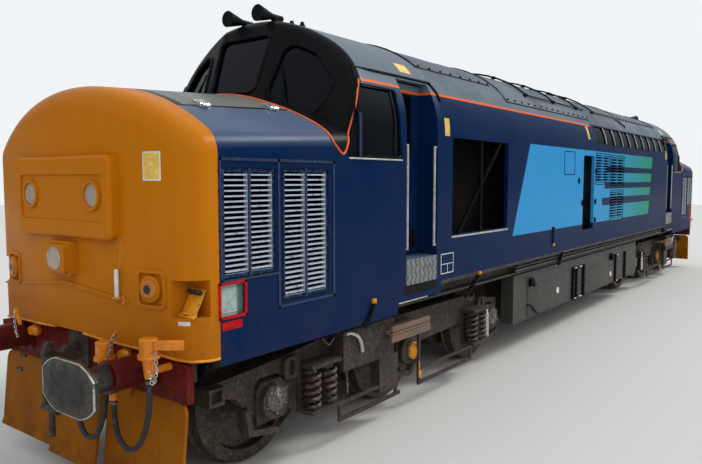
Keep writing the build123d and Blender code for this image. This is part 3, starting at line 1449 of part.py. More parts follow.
def hose(points):
    """Hose as straight runs joined by tangent arcs."""
    radii = hose_radii(points)
    path = FilletPolyline(*points, radius=radii)
    start = Plane(origin=points[0], z_dir=Vector(*points[1]) - Vector(*points[0]))
    tube = sweep(start * Circle(HOSE_R), path=path)
    print("hose radii", [round(radius) for radius in radii], "length", round(path.length))
    return tube


def hose_cocks():
    """Cocks at the hoses' upper ends and dummy brackets at their other ends."""
    pieces = []
    for points in (at_beam(OUTER_HOSE), at_beam(INNER_HOSE)):
        x, y, z = points[0]
        flange_z = z + COCK_TAPER
        foot = Plane.XY.offset(z) * Pos(x, y) * Circle(COCK_FOOT_R)
        shoulder = Plane.XY.offset(flange_z) * Pos(x, y) * Circle(COCK_BODY_R)
        flange = rod_z(x, y, flange_z, flange_z + COCK_FLANGE, COCK_FLANGE_R)
        cap = rod_z(x, y, flange_z + COCK_FLANGE, flange_z + COCK_FLANGE + COCK_CAP, COCK_CAP_R)
        cap = fillet(cap.faces().sort_by(Axis.Z)[-1].edges(), 8)
        pipe = rod_x(BEAM_X1, x, y, z + COCK_PIPE_RISE, COCK_PIPE_R)
        pieces.append(union([loft([foot, shoulder]), flange, cap, pipe]))
        x, y, z = points[-1]
        socket = rod_z(x, y, z, z + 140, 30)
        arm = block(BEAM_X1, x, y - 12, y + 12, z + 100, z + 130)
        pieces.append(socket + arm)
    return pieces


def main():
    os.makedirs("parts", exist_ok=True)
    nose = nose_shell()
    cab = cab_shell()
    tube = body_tube()
    side = body_side()
    door, door_glass = cab_door()
    save("underframe", underframe())
    beam = bufferbeam()
    save("bufferbeams", [beam, turned(beam)])
    left_buffer = buffer()
    pair = both_sides(left_buffer)
    save("buffers", [*pair, *(turned(piece) for piece in pair)])
    hook = coupling()
    save("couplings", [*hook, *(turned(piece) for piece in hook)])
    plough = snowplough()
    save("snowploughs", [*plough, *(turned(piece) for piece in plough)])
    save("nose_front", [nose])
    save("nose_rear", [turned(nose)])
    save("cab_front", [cab])
    save("cab_rear", [turned(cab)])
    save("body_side_left", [side])
    save("body_side_right", [across(side)])
    save("cantrails", both_sides(cantrail(tube)))
    save("roof", [roof_shell(tube)])
    wall = cab_bulkhead()
    save("bulkheads", [wall, turned(wall)])
    seats = [seat(1), seat(-1)]
    save("cab_seats", [*seats, *(turned(piece) for piece in seats)])
    fittings = cab_fittings()
    save("cab_fittings_front", fittings)
    save("cab_fittings_rear", [turned(piece) for piece in fittings])
    panes = [*windscreen_panes(), *side_panes()]
    save("cab_glass", [*panes, *(turned(pane) for pane in panes)])
    save("cantrail_glass", cant_glass())
    louvres = nose_louvres()
    save("nose_louvres", [*louvres, *(turned(louvre) for louvre in louvres)])
    save("side_louvres", side_louvres())
    save("radiators", radiators())
    save("fan_cowl", [fan_cowl()])
    save("fan", [fan()])
    save("engine", [engine()])
    save("tanks", [tanks()])
    rails = handrails()
    rails = [piece for rail in rails for piece in both_sides(rail)]
    save("handrails", [*rails, *(turned(rail) for rail in rails)])
    steps = both_sides(door_steps())
    save("door_steps", [*steps, *(turned(step) for step in steps)])
    horn_pair = horns()
    save("horns", [*horn_pair, *(turned(horn) for horn in horn_pair)])
    lamp_set = lamps()
    save("lamps", [*lamp_set, *(turned(lamp) for lamp in lamp_set)])
    cocks = hose_cocks()
    save("hose_cocks", [*cocks, *(turned(cock) for cock in cocks)])
    for name, points in (("outer", OUTER_HOSE), ("inner", INNER_HOSE)):
        tube_piece = hose(at_beam(points))
        save(f"hose_front_{name}", [tube_piece])
        save(f"hose_rear_{name}", [turned(tube_piece)])
    leaf = [*door, *door_glass]
    save("cab_door_front_left", leaf)
    save("cab_door_front_right", [across(piece) for piece in leaf])
    save("cab_door_rear_right", [turned(piece) for piece in leaf])
    save("cab_door_rear_left", [turned(across(piece)) for piece in leaf])
    save("room_door_left", [room_door(True)])
    save("room_door_right", [across(room_door(False))])
    for name, end in (("front", 1), ("rear", -1)):
        save(f"bogie_{name}_frame", bogie_frame(end))
        save(f"bogie_{name}_beams", bogie_beams(end))
        save(f"bogie_{name}_axleboxes", axleboxes(end))
        save(f"bogie_{name}_springs", springs(end))
        save(f"bogie_{name}_motors", motors(end))
        for number, offset_x in enumerate((AXLE_PITCH, 0.0, -AXLE_PITCH), 1):
            save(f"wheelset_{name}_{number}", [wheelset(end * BOGIE_X + end * offset_x)])


if __name__ == "__main__":
    main()
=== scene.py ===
import math

import bmesh
import bpy
from mathutils import Matrix, Vector
from mathutils.bvhtree import BVHTree


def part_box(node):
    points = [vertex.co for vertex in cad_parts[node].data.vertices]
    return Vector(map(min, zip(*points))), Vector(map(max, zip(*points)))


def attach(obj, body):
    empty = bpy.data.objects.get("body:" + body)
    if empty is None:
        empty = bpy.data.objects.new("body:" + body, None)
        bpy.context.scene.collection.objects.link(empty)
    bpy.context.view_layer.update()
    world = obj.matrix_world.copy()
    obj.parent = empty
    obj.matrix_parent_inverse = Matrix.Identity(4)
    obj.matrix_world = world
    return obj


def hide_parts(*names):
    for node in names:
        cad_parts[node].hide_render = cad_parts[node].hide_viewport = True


# Looks of a nose-ended diesel locomotive. Places are in metres: +X to its front end, +Y to its left side,
# heights above the rail head. What is built here is raised by RAIL, as the loaded model is.

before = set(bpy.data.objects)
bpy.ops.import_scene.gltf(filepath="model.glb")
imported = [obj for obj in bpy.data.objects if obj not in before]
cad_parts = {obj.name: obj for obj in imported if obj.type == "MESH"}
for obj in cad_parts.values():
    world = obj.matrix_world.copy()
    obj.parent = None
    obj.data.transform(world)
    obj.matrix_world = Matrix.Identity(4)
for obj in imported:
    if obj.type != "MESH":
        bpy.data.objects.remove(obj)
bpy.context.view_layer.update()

RAIL = 0.03
RAISED = Vector((0, 0, RAIL))
FORWARD = (1, 0, 0)
LEFT = (0, 1, 0)
UP = (0, 0, 1)
ENDS = (("front", 1), ("rear", -1))
HALF_TURN = Matrix.Rotation(math.pi, 4, "Z")

# Camera of the photograph
CAMERA_AT = (11.568, 4.848, 2.399)
CAMERA_YAW = 3.7916
CAMERA_PITCH = -0.0794
CAMERA_LENS = 33.68

# Body. The foot line is the orange one at the foot of the windscreens, and the pillar line the one behind
# their pillars.
HALF_WIDTH = 1.35
NOSE_YELLOW_X = 8.49
CANTRAIL_LINE_Z = 3.309
CANTRAIL_LINE_HALF = 0.013
ROOF_GREY_Z = 3.322
NOSE_TOP_Z = 2.8
PANEL_HALF = 0.89
PANEL_SEAMS = (8.25, 7.4)
SCREEN_FOOT_X = 7.117
SCREEN_FOOT_Z = 3.2
SCREEN_POST_Y = 0.36
SCREEN_SLOPE = math.tan(math.radians(20))
FOOT_LINE_X = 7.37
FOOT_BEND_Y = 0.68
FOOT_BEND_Z = 2.72
FOOT_SWEEP = 0.28
FOOT_DROP = 0.8
SILL_Z = 2.605
PILLAR_LINE_X = 7.0
PILLAR_SLOPE = 0.395

# Cantrail windows: rear end of the first, pitch, width, number, and height from and to
WINDOW_X = -5.29
WINDOW_PITCH = 0.528
WINDOW_WIDTH = 0.468
WINDOW_COUNT = 10
WINDOW_Z = (3.02, 3.32)

# Navy bars across the coloured panel: bottom, top and front end
BARS = ((2.53, 2.64, -0.6), (2.24, 2.35, -0.5), (1.945, 2.08, -0.37))

# Buffers: middle, half size of the head, ellipse that rounds its corners, and the stations ahead of which
# the greasy face and the worn rim lie and behind which the stock is red
BUFFER_Y = 0.87
BUFFER_Z = 1.054
BUFFER_HALF = (0.31, 0.1825)
BUFFER_ROUND = (0.344, 0.2008)
BUFFER_FACE_X = 9.3
BUFFER_EDGE_X = 9.363
BUFFER_STOCK_X = 9.1

# Tail lamps and running gear
TAIL_LAMP_Y = 0.975
TAIL_LAMP_Z = 1.635
BOGIE_X = 5.664
AXLE_PITCH = 2.0575
AXLE_Z = 0.6015

# On the tanks' sides: inner face of what lies there, outer faces of panels and of frames
TANK_Y = 1.246
TANK_PANEL_Y = 1.258
TANK_FRAME_Y = 1.286

# Screen colours of the paints
NAVY = "002048"
SKY_BLUE = "2f8fc9"
SEA_GREEN = "1f8a62"
ORANGE = "e2601c"
YELLOW = "bd7107"
ROOF_GREY = "626e79"
PANEL_GREY = "6c6f6a"
SKY_SHINE = "8496ad"
BLACK = "101214"
DIRT = "4a3a2c"

# Shine of body paint
PAINT = {"Specular_IOR_Level": 0.04}

# Width of a painted edge, over which one colour turns to the next
EDGE = 0.003

# Materials by name
finishes = {}


def linear(colour):
    """Linear RGBA of a screen colour, given as six hex digits."""
    shares = [int(colour[index:index + 2], 16) / 255 for index in (0, 2, 4)]
    return *(share / 12.92 if share <= 0.04045 else ((share + 0.055) / 1.055) ** 2.4 for share in shares), 1.0


def in_scene(name, data):
    """Object made of some data and put in the scene."""
    item = bpy.data.objects.new(name, data)
    bpy.context.scene.collection.objects.link(item)
    return item


# Materials

class Field:
    """A number worked out at each point of a surface."""

    def __init__(self, surface, socket):
        self.surface = surface
        self.socket = socket

    def maths(self, operation, *others, clamp=False):
        node = self.surface.node("ShaderNodeMath", self, *others, operation=operation, use_clamp=clamp)
        return Field(self.surface, node.outputs[0])

    def __add__(self, other):
        return self.maths("ADD", other)

    def __sub__(self, other):
        return self.maths("SUBTRACT", other)

    def __mul__(self, other):
        return self.maths("MULTIPLY", other)

    def size(self):
        return self.maths("ABSOLUTE")

    def most(self, other):
        return self.maths("MAXIMUM", other)

    def no(self):
        return self.maths("MULTIPLY_ADD", -1.0, 1.0)

    def ramp(self, low, high):
        """From 0 at low to 1 at high."""
        return self.maths("SUBTRACT", low).maths("DIVIDE", high - low, clamp=True)

    def over(self, edge, soft=EDGE):
        """1 where the number is over the edge, with a soft step."""
        return (self - edge).maths("MULTIPLY_ADD", 1 / soft, 0.5, clamp=True)

    def under(self, edge, soft=EDGE):
        return self.over(edge, soft).no()

    def between(self, low, high):
        return self.over(low) * self.under(high)

    def near(self, middle, reach):
        return self.between(middle - reach, middle + reach)


class Surface:
    """A material laid up in coats of colour, each in its own place on the locomotive."""

    def __init__(self, name, colour, roughness=0.5, metallic=0.0, **settings):
        finishes[name] = bpy.data.materials.new(name)
        finishes[name].use_nodes = True
        self.tree = finishes[name].node_tree
        self.shader = self.tree.nodes["Principled BSDF"]
        self.shader.inputs["Roughness"].default_value = roughness
        self.shader.inputs["Metallic"].default_value = metallic
        for socket, value in settings.items():
            self.shader.inputs[socket.replace("_", " ")].default_value = value
        self.colour = linear(colour)
        self.shader.inputs["Base Color"].default_value = self.colour
        self.place = self.node("ShaderNodeTexCoord").outputs["Object"]
        parts = self.node("ShaderNodeSeparateXYZ", self.place).outputs
        self.x = Field(self, parts["X"])
        self.y = Field(self, parts["Y"])
        self.z = Field(self, parts["Z"]) - RAIL

    def node(self, kind, *values, **settings):
        """A node with its first inputs filled in order by numbers, colours, fields or sockets."""
        node = self.tree.nodes.new(kind)
        for key, value in settings.items():
            setattr(node, key, value)
        for index, value in enumerate(values):
            self.fill(node.inputs[index], value)
        return node

    def fill(self, entry, value):
        if isinstance(value, Field):
            self.tree.links.new(value.socket, entry)
        elif isinstance(value, bpy.types.NodeSocket):
            self.tree.links.new(value, entry)
        else:
            entry.default_value = value

    def noise(self, size, low, high, detail=3.0, stretch=(1, 1, 1)):
        """Cloud from 0 to 1, with patches about size metres across."""
        scale = tuple(share / size for share in stretch)
        spread = self.node("ShaderNodeVectorMath", self.place, scale, operation="MULTIPLY")
        cloud = self.node("ShaderNodeTexNoise", spread.outputs[0])
        cloud.inputs["Scale"].default_value = 1.0
        cloud.inputs["Detail"].default_value = detail
        return Field(self, cloud.outputs["Fac"]).ramp(low, high)

    def upward(self):
        """1 on surfaces that face up, 0 on upright ones."""
        facing = self.node("ShaderNodeSeparateXYZ", self.node("ShaderNodeNewGeometry").outputs["Normal"])
        return Field(self, facing.outputs["Z"])

    def mix(self, share, first, second):
        """Colour that turns from the first to the second as the share rises to 1."""
        node = self.node("ShaderNodeMix", data_type="RGBA")
        for index, value in ((0, share), (6, first), (7, second)):
            self.fill(node.inputs[index], linear(value) if isinstance(value, str) else value)
        return node.outputs[2]

    def coat(self, colour, mask):
        """Lays a colour where the mask says."""
        self.colour = self.mix(mask, self.colour, colour)
        self.fill(self.shader.inputs["Base Color"], self.colour)

    def patches(self, colour, share, *noise):
        """Lays a colour in clouds, up to a share of it."""
        self.coat(colour, self.noise(*noise) * share)

    def rough(self, field):
        self.fill(self.shader.inputs["Roughness"], field)

    def bump(self, field, height):
        node = self.node("ShaderNodeBump")
        node.inputs["Distance"].default_value = height
        self.fill(node.inputs["Height"], field)
        if self.shader.inputs["Normal"].is_linked:
            self.fill(node.inputs["Normal"], self.shader.inputs["Normal"].links[0].from_socket)
        self.fill(self.shader.inputs["Normal"], node.outputs["Normal"])

    def grain(self, size, height, detail=1.0, stretch=(1, 1, 1)):
        """Waves or pits of a size and height."""
        self.bump(self.noise(size, 0.2, 0.8, detail, stretch), height)


def weathered(surface, gloss, grime):
    """Painted steel sheet: slightly wavy, streaked by rain and dusty towards the rails."""
    streaks = surface.noise(0.09, 0.42, 0.75, 4.0, (1, 1, 0.12))
    clouds = surface.noise(0.8, 0.3, 0.75)
    low = surface.z.ramp(2.1, 1.15)
    surface.coat("1c2226", streaks * (0.1 * grime))
    surface.coat("8b8478", clouds * (0.06 * grime))
    surface.coat(DIRT, low * surface.noise(0.25, 0.25, 0.8, 5.0) * (0.55 * grime))
    surface.rough((clouds * 0.1 + low * 0.22) + gloss)
    surface.grain(0.9, 0.004)
    surface.grain(0.012, 0.0002, 2.0)


def screen_distance(surface):
    """How far ahead of the windscreen's planes a point lies, along X."""
    sweep = (surface.y.size() - SCREEN_POST_Y).most(0.0)
    return surface.x.size() - SCREEN_FOOT_X + (sweep + (surface.z - SCREEN_FOOT_Z)) * SCREEN_SLOPE


def behind_foot_line(surface):
    """1 behind the orange line at the foot of the windscreens."""
    sweep = (surface.y.size() - FOOT_BEND_Y).most(0.0) * FOOT_SWEEP
    drop = (surface.z.no() + (FOOT_BEND_Z - 1.0)).most(0.0) * FOOT_DROP
    return (surface.x.size() - FOOT_LINE_X + sweep + drop).under(0.0)


def sky_shine(surface):
    """Light of the sky on paint that faces up."""
    surface.coat(SKY_SHINE, surface.upward().ramp(0.15, 0.75) * 0.32)


def cantrail_line(surface):
    return surface.z.near(CANTRAIL_LINE_Z, CANTRAIL_LINE_HALF)


def coloured_panel(surface, panel, barred):
    """Light-blue panel that turns green to the rear, cut by three navy bars."""
    surface.coat(surface.mix(surface.x.ramp(-0.3, -3.9), SKY_BLUE, SEA_GREEN), panel)
    for low, high, start in BARS:
        surface.coat(NAVY, surface.z.between(low, high) * surface.x.under(start) * barred)


def nose_paint():
    """Navy sides, a grey panel with black edges and seams on top, and a yellow front with a black foot. The
    front turns darker towards its foot as painted shade, and the black foot is painted shade standing for the
    dark gap under the valance.
    """
    surface = Surface("nose_paint", NAVY, **PAINT)
    sky_shine(surface)
    ahead = surface.x.size()
    wide = surface.y.size()
    top = surface.z.over(NOSE_TOP_Z)
    panel = wide.under(PANEL_HALF) * top
    behind = behind_foot_line(surface)
    surface.coat(BLACK, behind)
    surface.coat(BLACK, ahead.under(NOSE_YELLOW_X) * wide.under(PANEL_HALF + 0.035) * top)
    surface.coat(PANEL_GREY, ahead.under(NOSE_YELLOW_X - 0.075) * panel)
    for seam in PANEL_SEAMS:
        surface.coat(BLACK, ahead.near(seam, 0.005) * panel)
    surface.coat("7b7d7a", surface.noise(0.12, 0.5, 0.8, 4.0) * panel * 0.25)
    surface.coat(BLACK, behind * top)
    front = ahead.over(NOSE_YELLOW_X)
    surface.coat(YELLOW, front)
    surface.coat("b45f0c", surface.noise(0.5, 0.45, 0.8) * front * 0.35)
    surface.coat("6b3d10", surface.noise(0.05, 0.62, 0.8, 5.0) * surface.z.ramp(2.3, 1.3) * front * 0.55)
    # Painted shade: the yellow front turns darker towards its foot
    surface.coat("8f4a0c", surface.z.ramp(1.75, 1.15) * front * 0.35)
    # Painted shade: black at the foot of the front, standing for the dark gap under the valance
    surface.coat(BLACK, front * surface.z.under(1.137))
    weathered(surface, 0.22, 0.4)


def cab_paint():
    """Navy cab with a grey roof and orange cantrail line, black round the windscreens and under the doors."""
    surface = Surface("cab_paint", NAVY, **PAINT)
    sky_shine(surface)
    pillar = surface.x.size() - PILLAR_LINE_X + (surface.z - SILL_Z) * PILLAR_SLOPE
    surface.coat(ROOF_GREY, surface.z.over(ROOF_GREY_Z))
    surface.coat(ORANGE, cantrail_line(surface) * pillar.under(0.0))
    front = screen_distance(surface).over(-0.06).most(pillar.over(0.0) * surface.z.under(ROOF_GREY_Z + 0.02))
    surface.coat(BLACK, front * behind_foot_line(surface) * surface.z.over(2.637))
    surface.coat(BLACK, surface.x.size().between(5.465, 6.095) * surface.z.between(1.24, 1.335))
    weathered(surface, 0.24, 0.3)


def side_paint():
    """Navy body side with the coloured panel, the orange cantrail line and grey above it."""
    surface = Surface("side_paint", NAVY, **PAINT)
    front = surface.x - 2.94 + (surface.z - 2.88) * 0.444
    rear = (surface.x + 3.95 + (surface.z - 2.88) * 0.2).over(0.0)
    coloured_panel(surface, front.under(0.0) * rear * surface.z.between(1.665, 2.885), rear)
    ahead = surface.x.over(0.12)
    surface.coat(ORANGE, cantrail_line(surface) * ahead)
    surface.coat(ROOF_GREY, surface.z.over(ROOF_GREY_Z) * ahead)
    weathered(surface, 0.24, 0.3)


def louvre_paint():
    """Navy or panel-coloured slats, with pale painted highlights on their front edges and upper faces."""
    surface = Surface("louvre_paint", NAVY, **PAINT)
    inner = surface.x.size().under(5.0)
    coloured_panel(surface, inner, inner)
    depth = surface.y.size()
    slat = depth.under(HALF_WIDTH - 0.0035, 0.0006) * depth.over(1.3, 0.03) * inner.no()
    # Painted highlight: pale on the slats' front edges
    surface.coat("c4d0dc", slat * surface.noise(0.05, 0.2, 0.45, 4.0) * 0.75)
    # Painted highlight: pale on the faces that look up
    surface.coat("c3cdd4", surface.upward().over(0.25, 0.1) * surface.noise(0.05, 0.3, 0.55, 4.0) * 0.6)
    surface.patches("9aa0a4", 0.2, 0.03, 0.45, 0.7, 4.0)
    surface.rough(surface.noise(0.05, 0.3, 0.7) * 0.2 + 0.35)


def roof_paint():
    """Grey roof sheet with soot and rain marks."""
    surface = Surface("roof_paint", ROOF_GREY, **PAINT)
    surface.coat(BLACK, screen_distance(surface).over(-0.06))
    surface.patches("23272b", 0.45, 0.7, 0.4, 0.72, 5.0)
    surface.patches("7d8790", 0.25, 0.18, 0.5, 0.8, 4.0, (1, 0.2, 1))
    surface.rough(surface.noise(0.5, 0.3, 0.7) * 0.2 + 0.38)
    surface.grain(0.6, 0.005)


def coarse(name, colour, second, third, roughness=0.65, metallic=0.0, grain=0.01, height=0.0008, **settings):
    """Cast or painted metal under dirt: two further colours in patches, and a rough skin."""
    surface = Surface(name, colour, roughness, metallic, **settings)
    surface.patches(second, 0.75, 0.16, 0.4, 0.68, 5.0)
    surface.patches(third, 0.6, 0.035, 0.52, 0.72, 4.0)
    surface.rough(surface.noise(0.06, 0.3, 0.7) * 0.25 + (roughness - 0.12))
    surface.grain(grain, height, 4.0)
    return surface


def glass_pane(name, colour, roughness, index):
    """Thin dark pane with dust."""
    surface = Surface(name, colour, roughness, IOR=index)
    surface.shader.inputs["Transmission Weight"].default_value = 0.92
    surface.coat("6a6c68", surface.noise(0.25, 0.5, 0.9) * surface.noise(0.02, 0.3, 0.8) * 0.15)
    surface.rough(surface.noise(0.2, 0.45, 0.8) * 0.12 + roughness)


def buffer_steel():
    """Greasy buffer heads with worn bright rims, on red stocks."""
    head = coarse("buffer_steel", "3a3733", "1f1d1b", "5c5851", 0.4, 0.5)
    ahead = head.x.size()
    across = head.y.size() - BUFFER_Y
    rise = head.z - BUFFER_Z
    far = (across * across) * (1 / BUFFER_ROUND[0] ** 2) + (rise * rise) * (1 / BUFFER_ROUND[1] ** 2)
    outline = (across.size() * (1 / BUFFER_HALF[0])).most(rise.size() * (1 / BUFFER_HALF[1]))
    rim = outline.most(far.maths("SQRT")).over(0.97, 0.03)
    head.coat("0d0c0b", ahead.over(BUFFER_FACE_X) * far.under(0.45, 0.35) * head.noise(0.2, 0.25, 0.5))
    head.coat("b9b6ae", rim * ahead.over(BUFFER_EDGE_X) * head.noise(0.05, 0.25, 0.5))
    head.coat("5a1414", ahead.under(BUFFER_STOCK_X) * head.noise(0.1, 0.1, 0.4))


# Plain finishes: name, colour, two colours in patches, roughness, metal share, size and height of the grain
PLAIN = (
    ("bogie_brown", "241c18", "3d3028", "634e3d", 0.7),
    ("bright_catch", "c9cbcb", "8b8b88", "eeeeea", 0.25, 0.8),
    ("chassis_black", "1d1b1a", "3c322b", "57483b"),
    ("cock_orange", "dc820f", "b8620c", "7a4210", 0.35),
    ("engine_grey", "5d6260", "3c3a35", "7c7a70", 0.5),
    ("fitting_yellow", "dd9012", "a8610c", "6b3d10", 0.4),
    ("hose_rubber", "17181a", "2c2a27", "4b463e", 0.7, 0.0, 0.004, 0.0002),
    ("navy_trim", NAVY, "081c38", "2b4468", 0.35),
    ("pale_rail", "b9bab6", "8f8d86", "d8d7d2", 0.35, 0.3),
    ("plate_white", "dcdcd6", "b9b8b0", "efefea", 0.4),
    ("plate_yellow", "e3bb4e", "c79a34", "f0e2b0", 0.4),
    ("room_grey", "6a7072", "4a4c4a", "82827c", 0.5),
    ("spring_steel", "3d2f28", "1d1815", "8a7767", 0.6, 0.3),
    ("stripe_orange", ORANGE, "b84a14", "ef8a4c", 0.4),
    ("tank_grey", "33332f", "262421", "48433c", 0.55),
    ("wheel_steel", "41352d", "2a221e", "6f6358", 0.5, 0.5),
    ("worn_steel", "6d675f", "3b3029", "a09a90", 0.45, 0.7),
)

# The same, with the shine of body paint
PLAIN_PAINT = (
    ("frame_red", "b5121b", "8a0f16", "c23a34", 0.35),
    # Radiators near black: painted shade of the space behind the grilles
    ("radiator_metal", "0b0b0a", "070707", "181614", 0.7),
    ("trim_black", "0e1012", "17191b", "303030", 0.45),
)


def make_materials():
    """Makes every finish."""
    for paint in (nose_paint, cab_paint, side_paint, louvre_paint, roof_paint, buffer_steel):
        paint()
    for row in PLAIN:
        coarse(*row)
    for row in PLAIN_PAINT:
        coarse(*row, **PAINT)
    glass_pane("window_glass", "12263a", 0.03, 1.22)
    # Cantrail glass tinted near black: painted shade, so the room behind it reads dark
    glass_pane("dark_glass", "060b10", 0.06, 1.12)
    lens = Surface("lamp_lens", "e8e2d4", 0.08, IOR=1.5)
    lens.shader.inputs["Transmission Weight"].default_value = 0.75
    lens.bump(lens.noise(0.012, 0.3, 0.7, 0.0), 0.0015)
    plate = Surface("chequer_plate", "8f9194", 0.4, 0.6)
    plate.patches("4c463e", 0.6, 0.05, 0.4, 0.7, 4.0)
    wave = (plate.x * 74.0 + (plate.z * 63.0).maths("SINE") * 1.2).maths("SINE")
    plate.coat("45484a", wave.ramp(0.1, 0.7) * 0.75)
    lozenge = (plate.x * 220.0).maths("SINE") * (plate.z * 220.0).maths("SINE")
    plate.bump(lozenge.ramp(0.1, 0.6), 0.0012)
    red = coarse("beam_red", "611414", "420f0f", "7c2a24", 0.5, **PAINT)
    red.coat(DIRT, red.z.ramp(1.15, 0.8) * 0.35)
    plough = Surface("plough_yellow", "9a5c0c", 0.5, **PAINT)
    plough.patches("6b3a0c", 0.7, 0.5, 0.35, 0.7)
    plough.coat("3c2412", plough.z.ramp(0.55, 0.15) * plough.noise(0.12, 0.3, 0.7, 4.0) * 0.6)
    plough.patches("2a1a10", 0.5, 0.03, 0.62, 0.75, 5.0)
    plough.grain(0.4, 0.004)
    dome = coarse("tail_lamp_dome", "c9780f", "9a5a10", "6b3d10", 0.4)
    span = dome.y.size() - TAIL_LAMP_Y
    lift = dome.z - TAIL_LAMP_Z
    dome.coat("0c0b0a", (span * span + lift * lift).under(0.033 ** 2, 0.0002))
    speckled = coarse("speckled_steel", "6a6661", "2a2623", "d0ccc4", 0.5, 0.4, 0.02, 0.002)
    speckled.patches("1c1917", 0.8, 0.012, 0.48, 0.56, 2.0)
    planks = Surface("worn_planks", "6f6357", 0.85)
    planks.patches("3d3129", 0.8, 0.012, 0.35, 0.7, 4.0, (0.04, 1, 1))
    planks.patches("8a5a4a", 0.5, 0.3, 0.4, 0.7)
    planks.grain(0.008, 0.002, 3.0, (0.05, 1, 1))
    cloth = Surface("seat_cloth", "2b3446", 0.9, Sheen_Weight=0.4)
    weave = (cloth.x * 1500.0).maths("SINE") * (cloth.y * 1500.0).maths("SINE")
    cloth.coat("46536b", weave.ramp(0.0, 0.8) * 0.5)
    cloth.patches("1b2130", 0.5, 0.12, 0.4, 0.7)
    cloth.bump(weave.ramp(-1.0, 1.0), 0.0004)
    pane = Surface("box_pane", "9db3aa", 0.2)
    pane.coat("3e4c49", pane.x.size().under(8.315) * 0.8)
    pane.patches("5c6e66", 0.5, 0.05, 0.4, 0.7, 4.0)


# Finish of the model's nodes by the start of their names, of which the first that fits is taken
CAD_FINISH = (
    ("nose_louvres", "louvre_paint"), ("side_louvres", "louvre_paint"), ("nose", "nose_paint"),
    ("cab_front", "cab_paint"), ("cab_rear", "cab_paint"), ("cab_door", "cab_paint"),
    ("cab_seats", "seat_cloth"), ("cab_glass", "window_glass"), ("cantrail_glass", "dark_glass"),
    ("cantrails", "side_paint"), ("body_side", "side_paint"), ("room_door", "side_paint"),
    ("roof", "roof_paint"), ("fan_cowl", "roof_paint"), ("fan", "chassis_black"),
    ("underframe", "chassis_black"), ("tanks", "tank_grey"), ("bufferbeams", "beam_red"),
    ("buffers", "buffer_steel"), ("couplings", "bogie_brown"), ("snowploughs", "plough_yellow"),
    ("handrails", "pale_rail"), ("door_steps", "chequer_plate"), ("lamps", "lamp_lens"),
    ("horns", "trim_black"), ("radiators", "radiator_metal"), ("engine", "engine_grey"),
    ("hose_cocks", "cock_orange"), ("hose", "hose_rubber"), ("wheelset", "wheel_steel"),
    ("bogie_front_springs", "spring_steel"), ("bogie_rear_springs", "spring_steel"),
    ("bogie", "bogie_brown"), ("", "room_grey"),
)


# Window of a cab door, from and to
DOOR_PANE_X = (5.612, 5.888)
DOOR_PANE_Z = (2.642, 3.268)

# The tail lamps lie outside this distance from the centre line
LAMPS_PART_Y = 0.8


def in_door_pane(place):
    along = DOOR_PANE_X[0] < abs(place.x) < DOOR_PANE_X[1]
    return along and DOOR_PANE_Z[0] < place.z - RAIL < DOOR_PANE_Z[1]


def in_tail_lamp(place):
    return abs(place.y) > LAMPS_PART_Y


# Nodes with a second finish on some faces: node, finish and test of the face's middle
SECOND_FINISH = (("cab_door", "window_glass", in_door_pane), ("lamps", "tail_lamp_dome", in_tail_lamp))


def finish_cad():
    """Gives every node of the model its finish."""
    for name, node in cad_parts.items():
        finish = next(finish for start, finish in CAD_FINISH if name.startswith(start))
        node.data.materials.clear()
        node.data.materials.append(finishes[finish])
        for start, second, chosen in SECOND_FINISH:
            if name.startswith(start):
                node.data.materials.append(finishes[second])
                for polygon in node.data.polygons:
                    polygon.material_index = int(chosen(polygon.center))


# Mesh building

# Edges that bend by more than this stay sharp
SHARP_ANGLE = math.radians(35)

# Links of the chains
LINK_LENGTH = 0.03
LINK_WIDTH = 0.0192
LINK_PITCH = 0.0216
LINK_WIRE = 0.0032


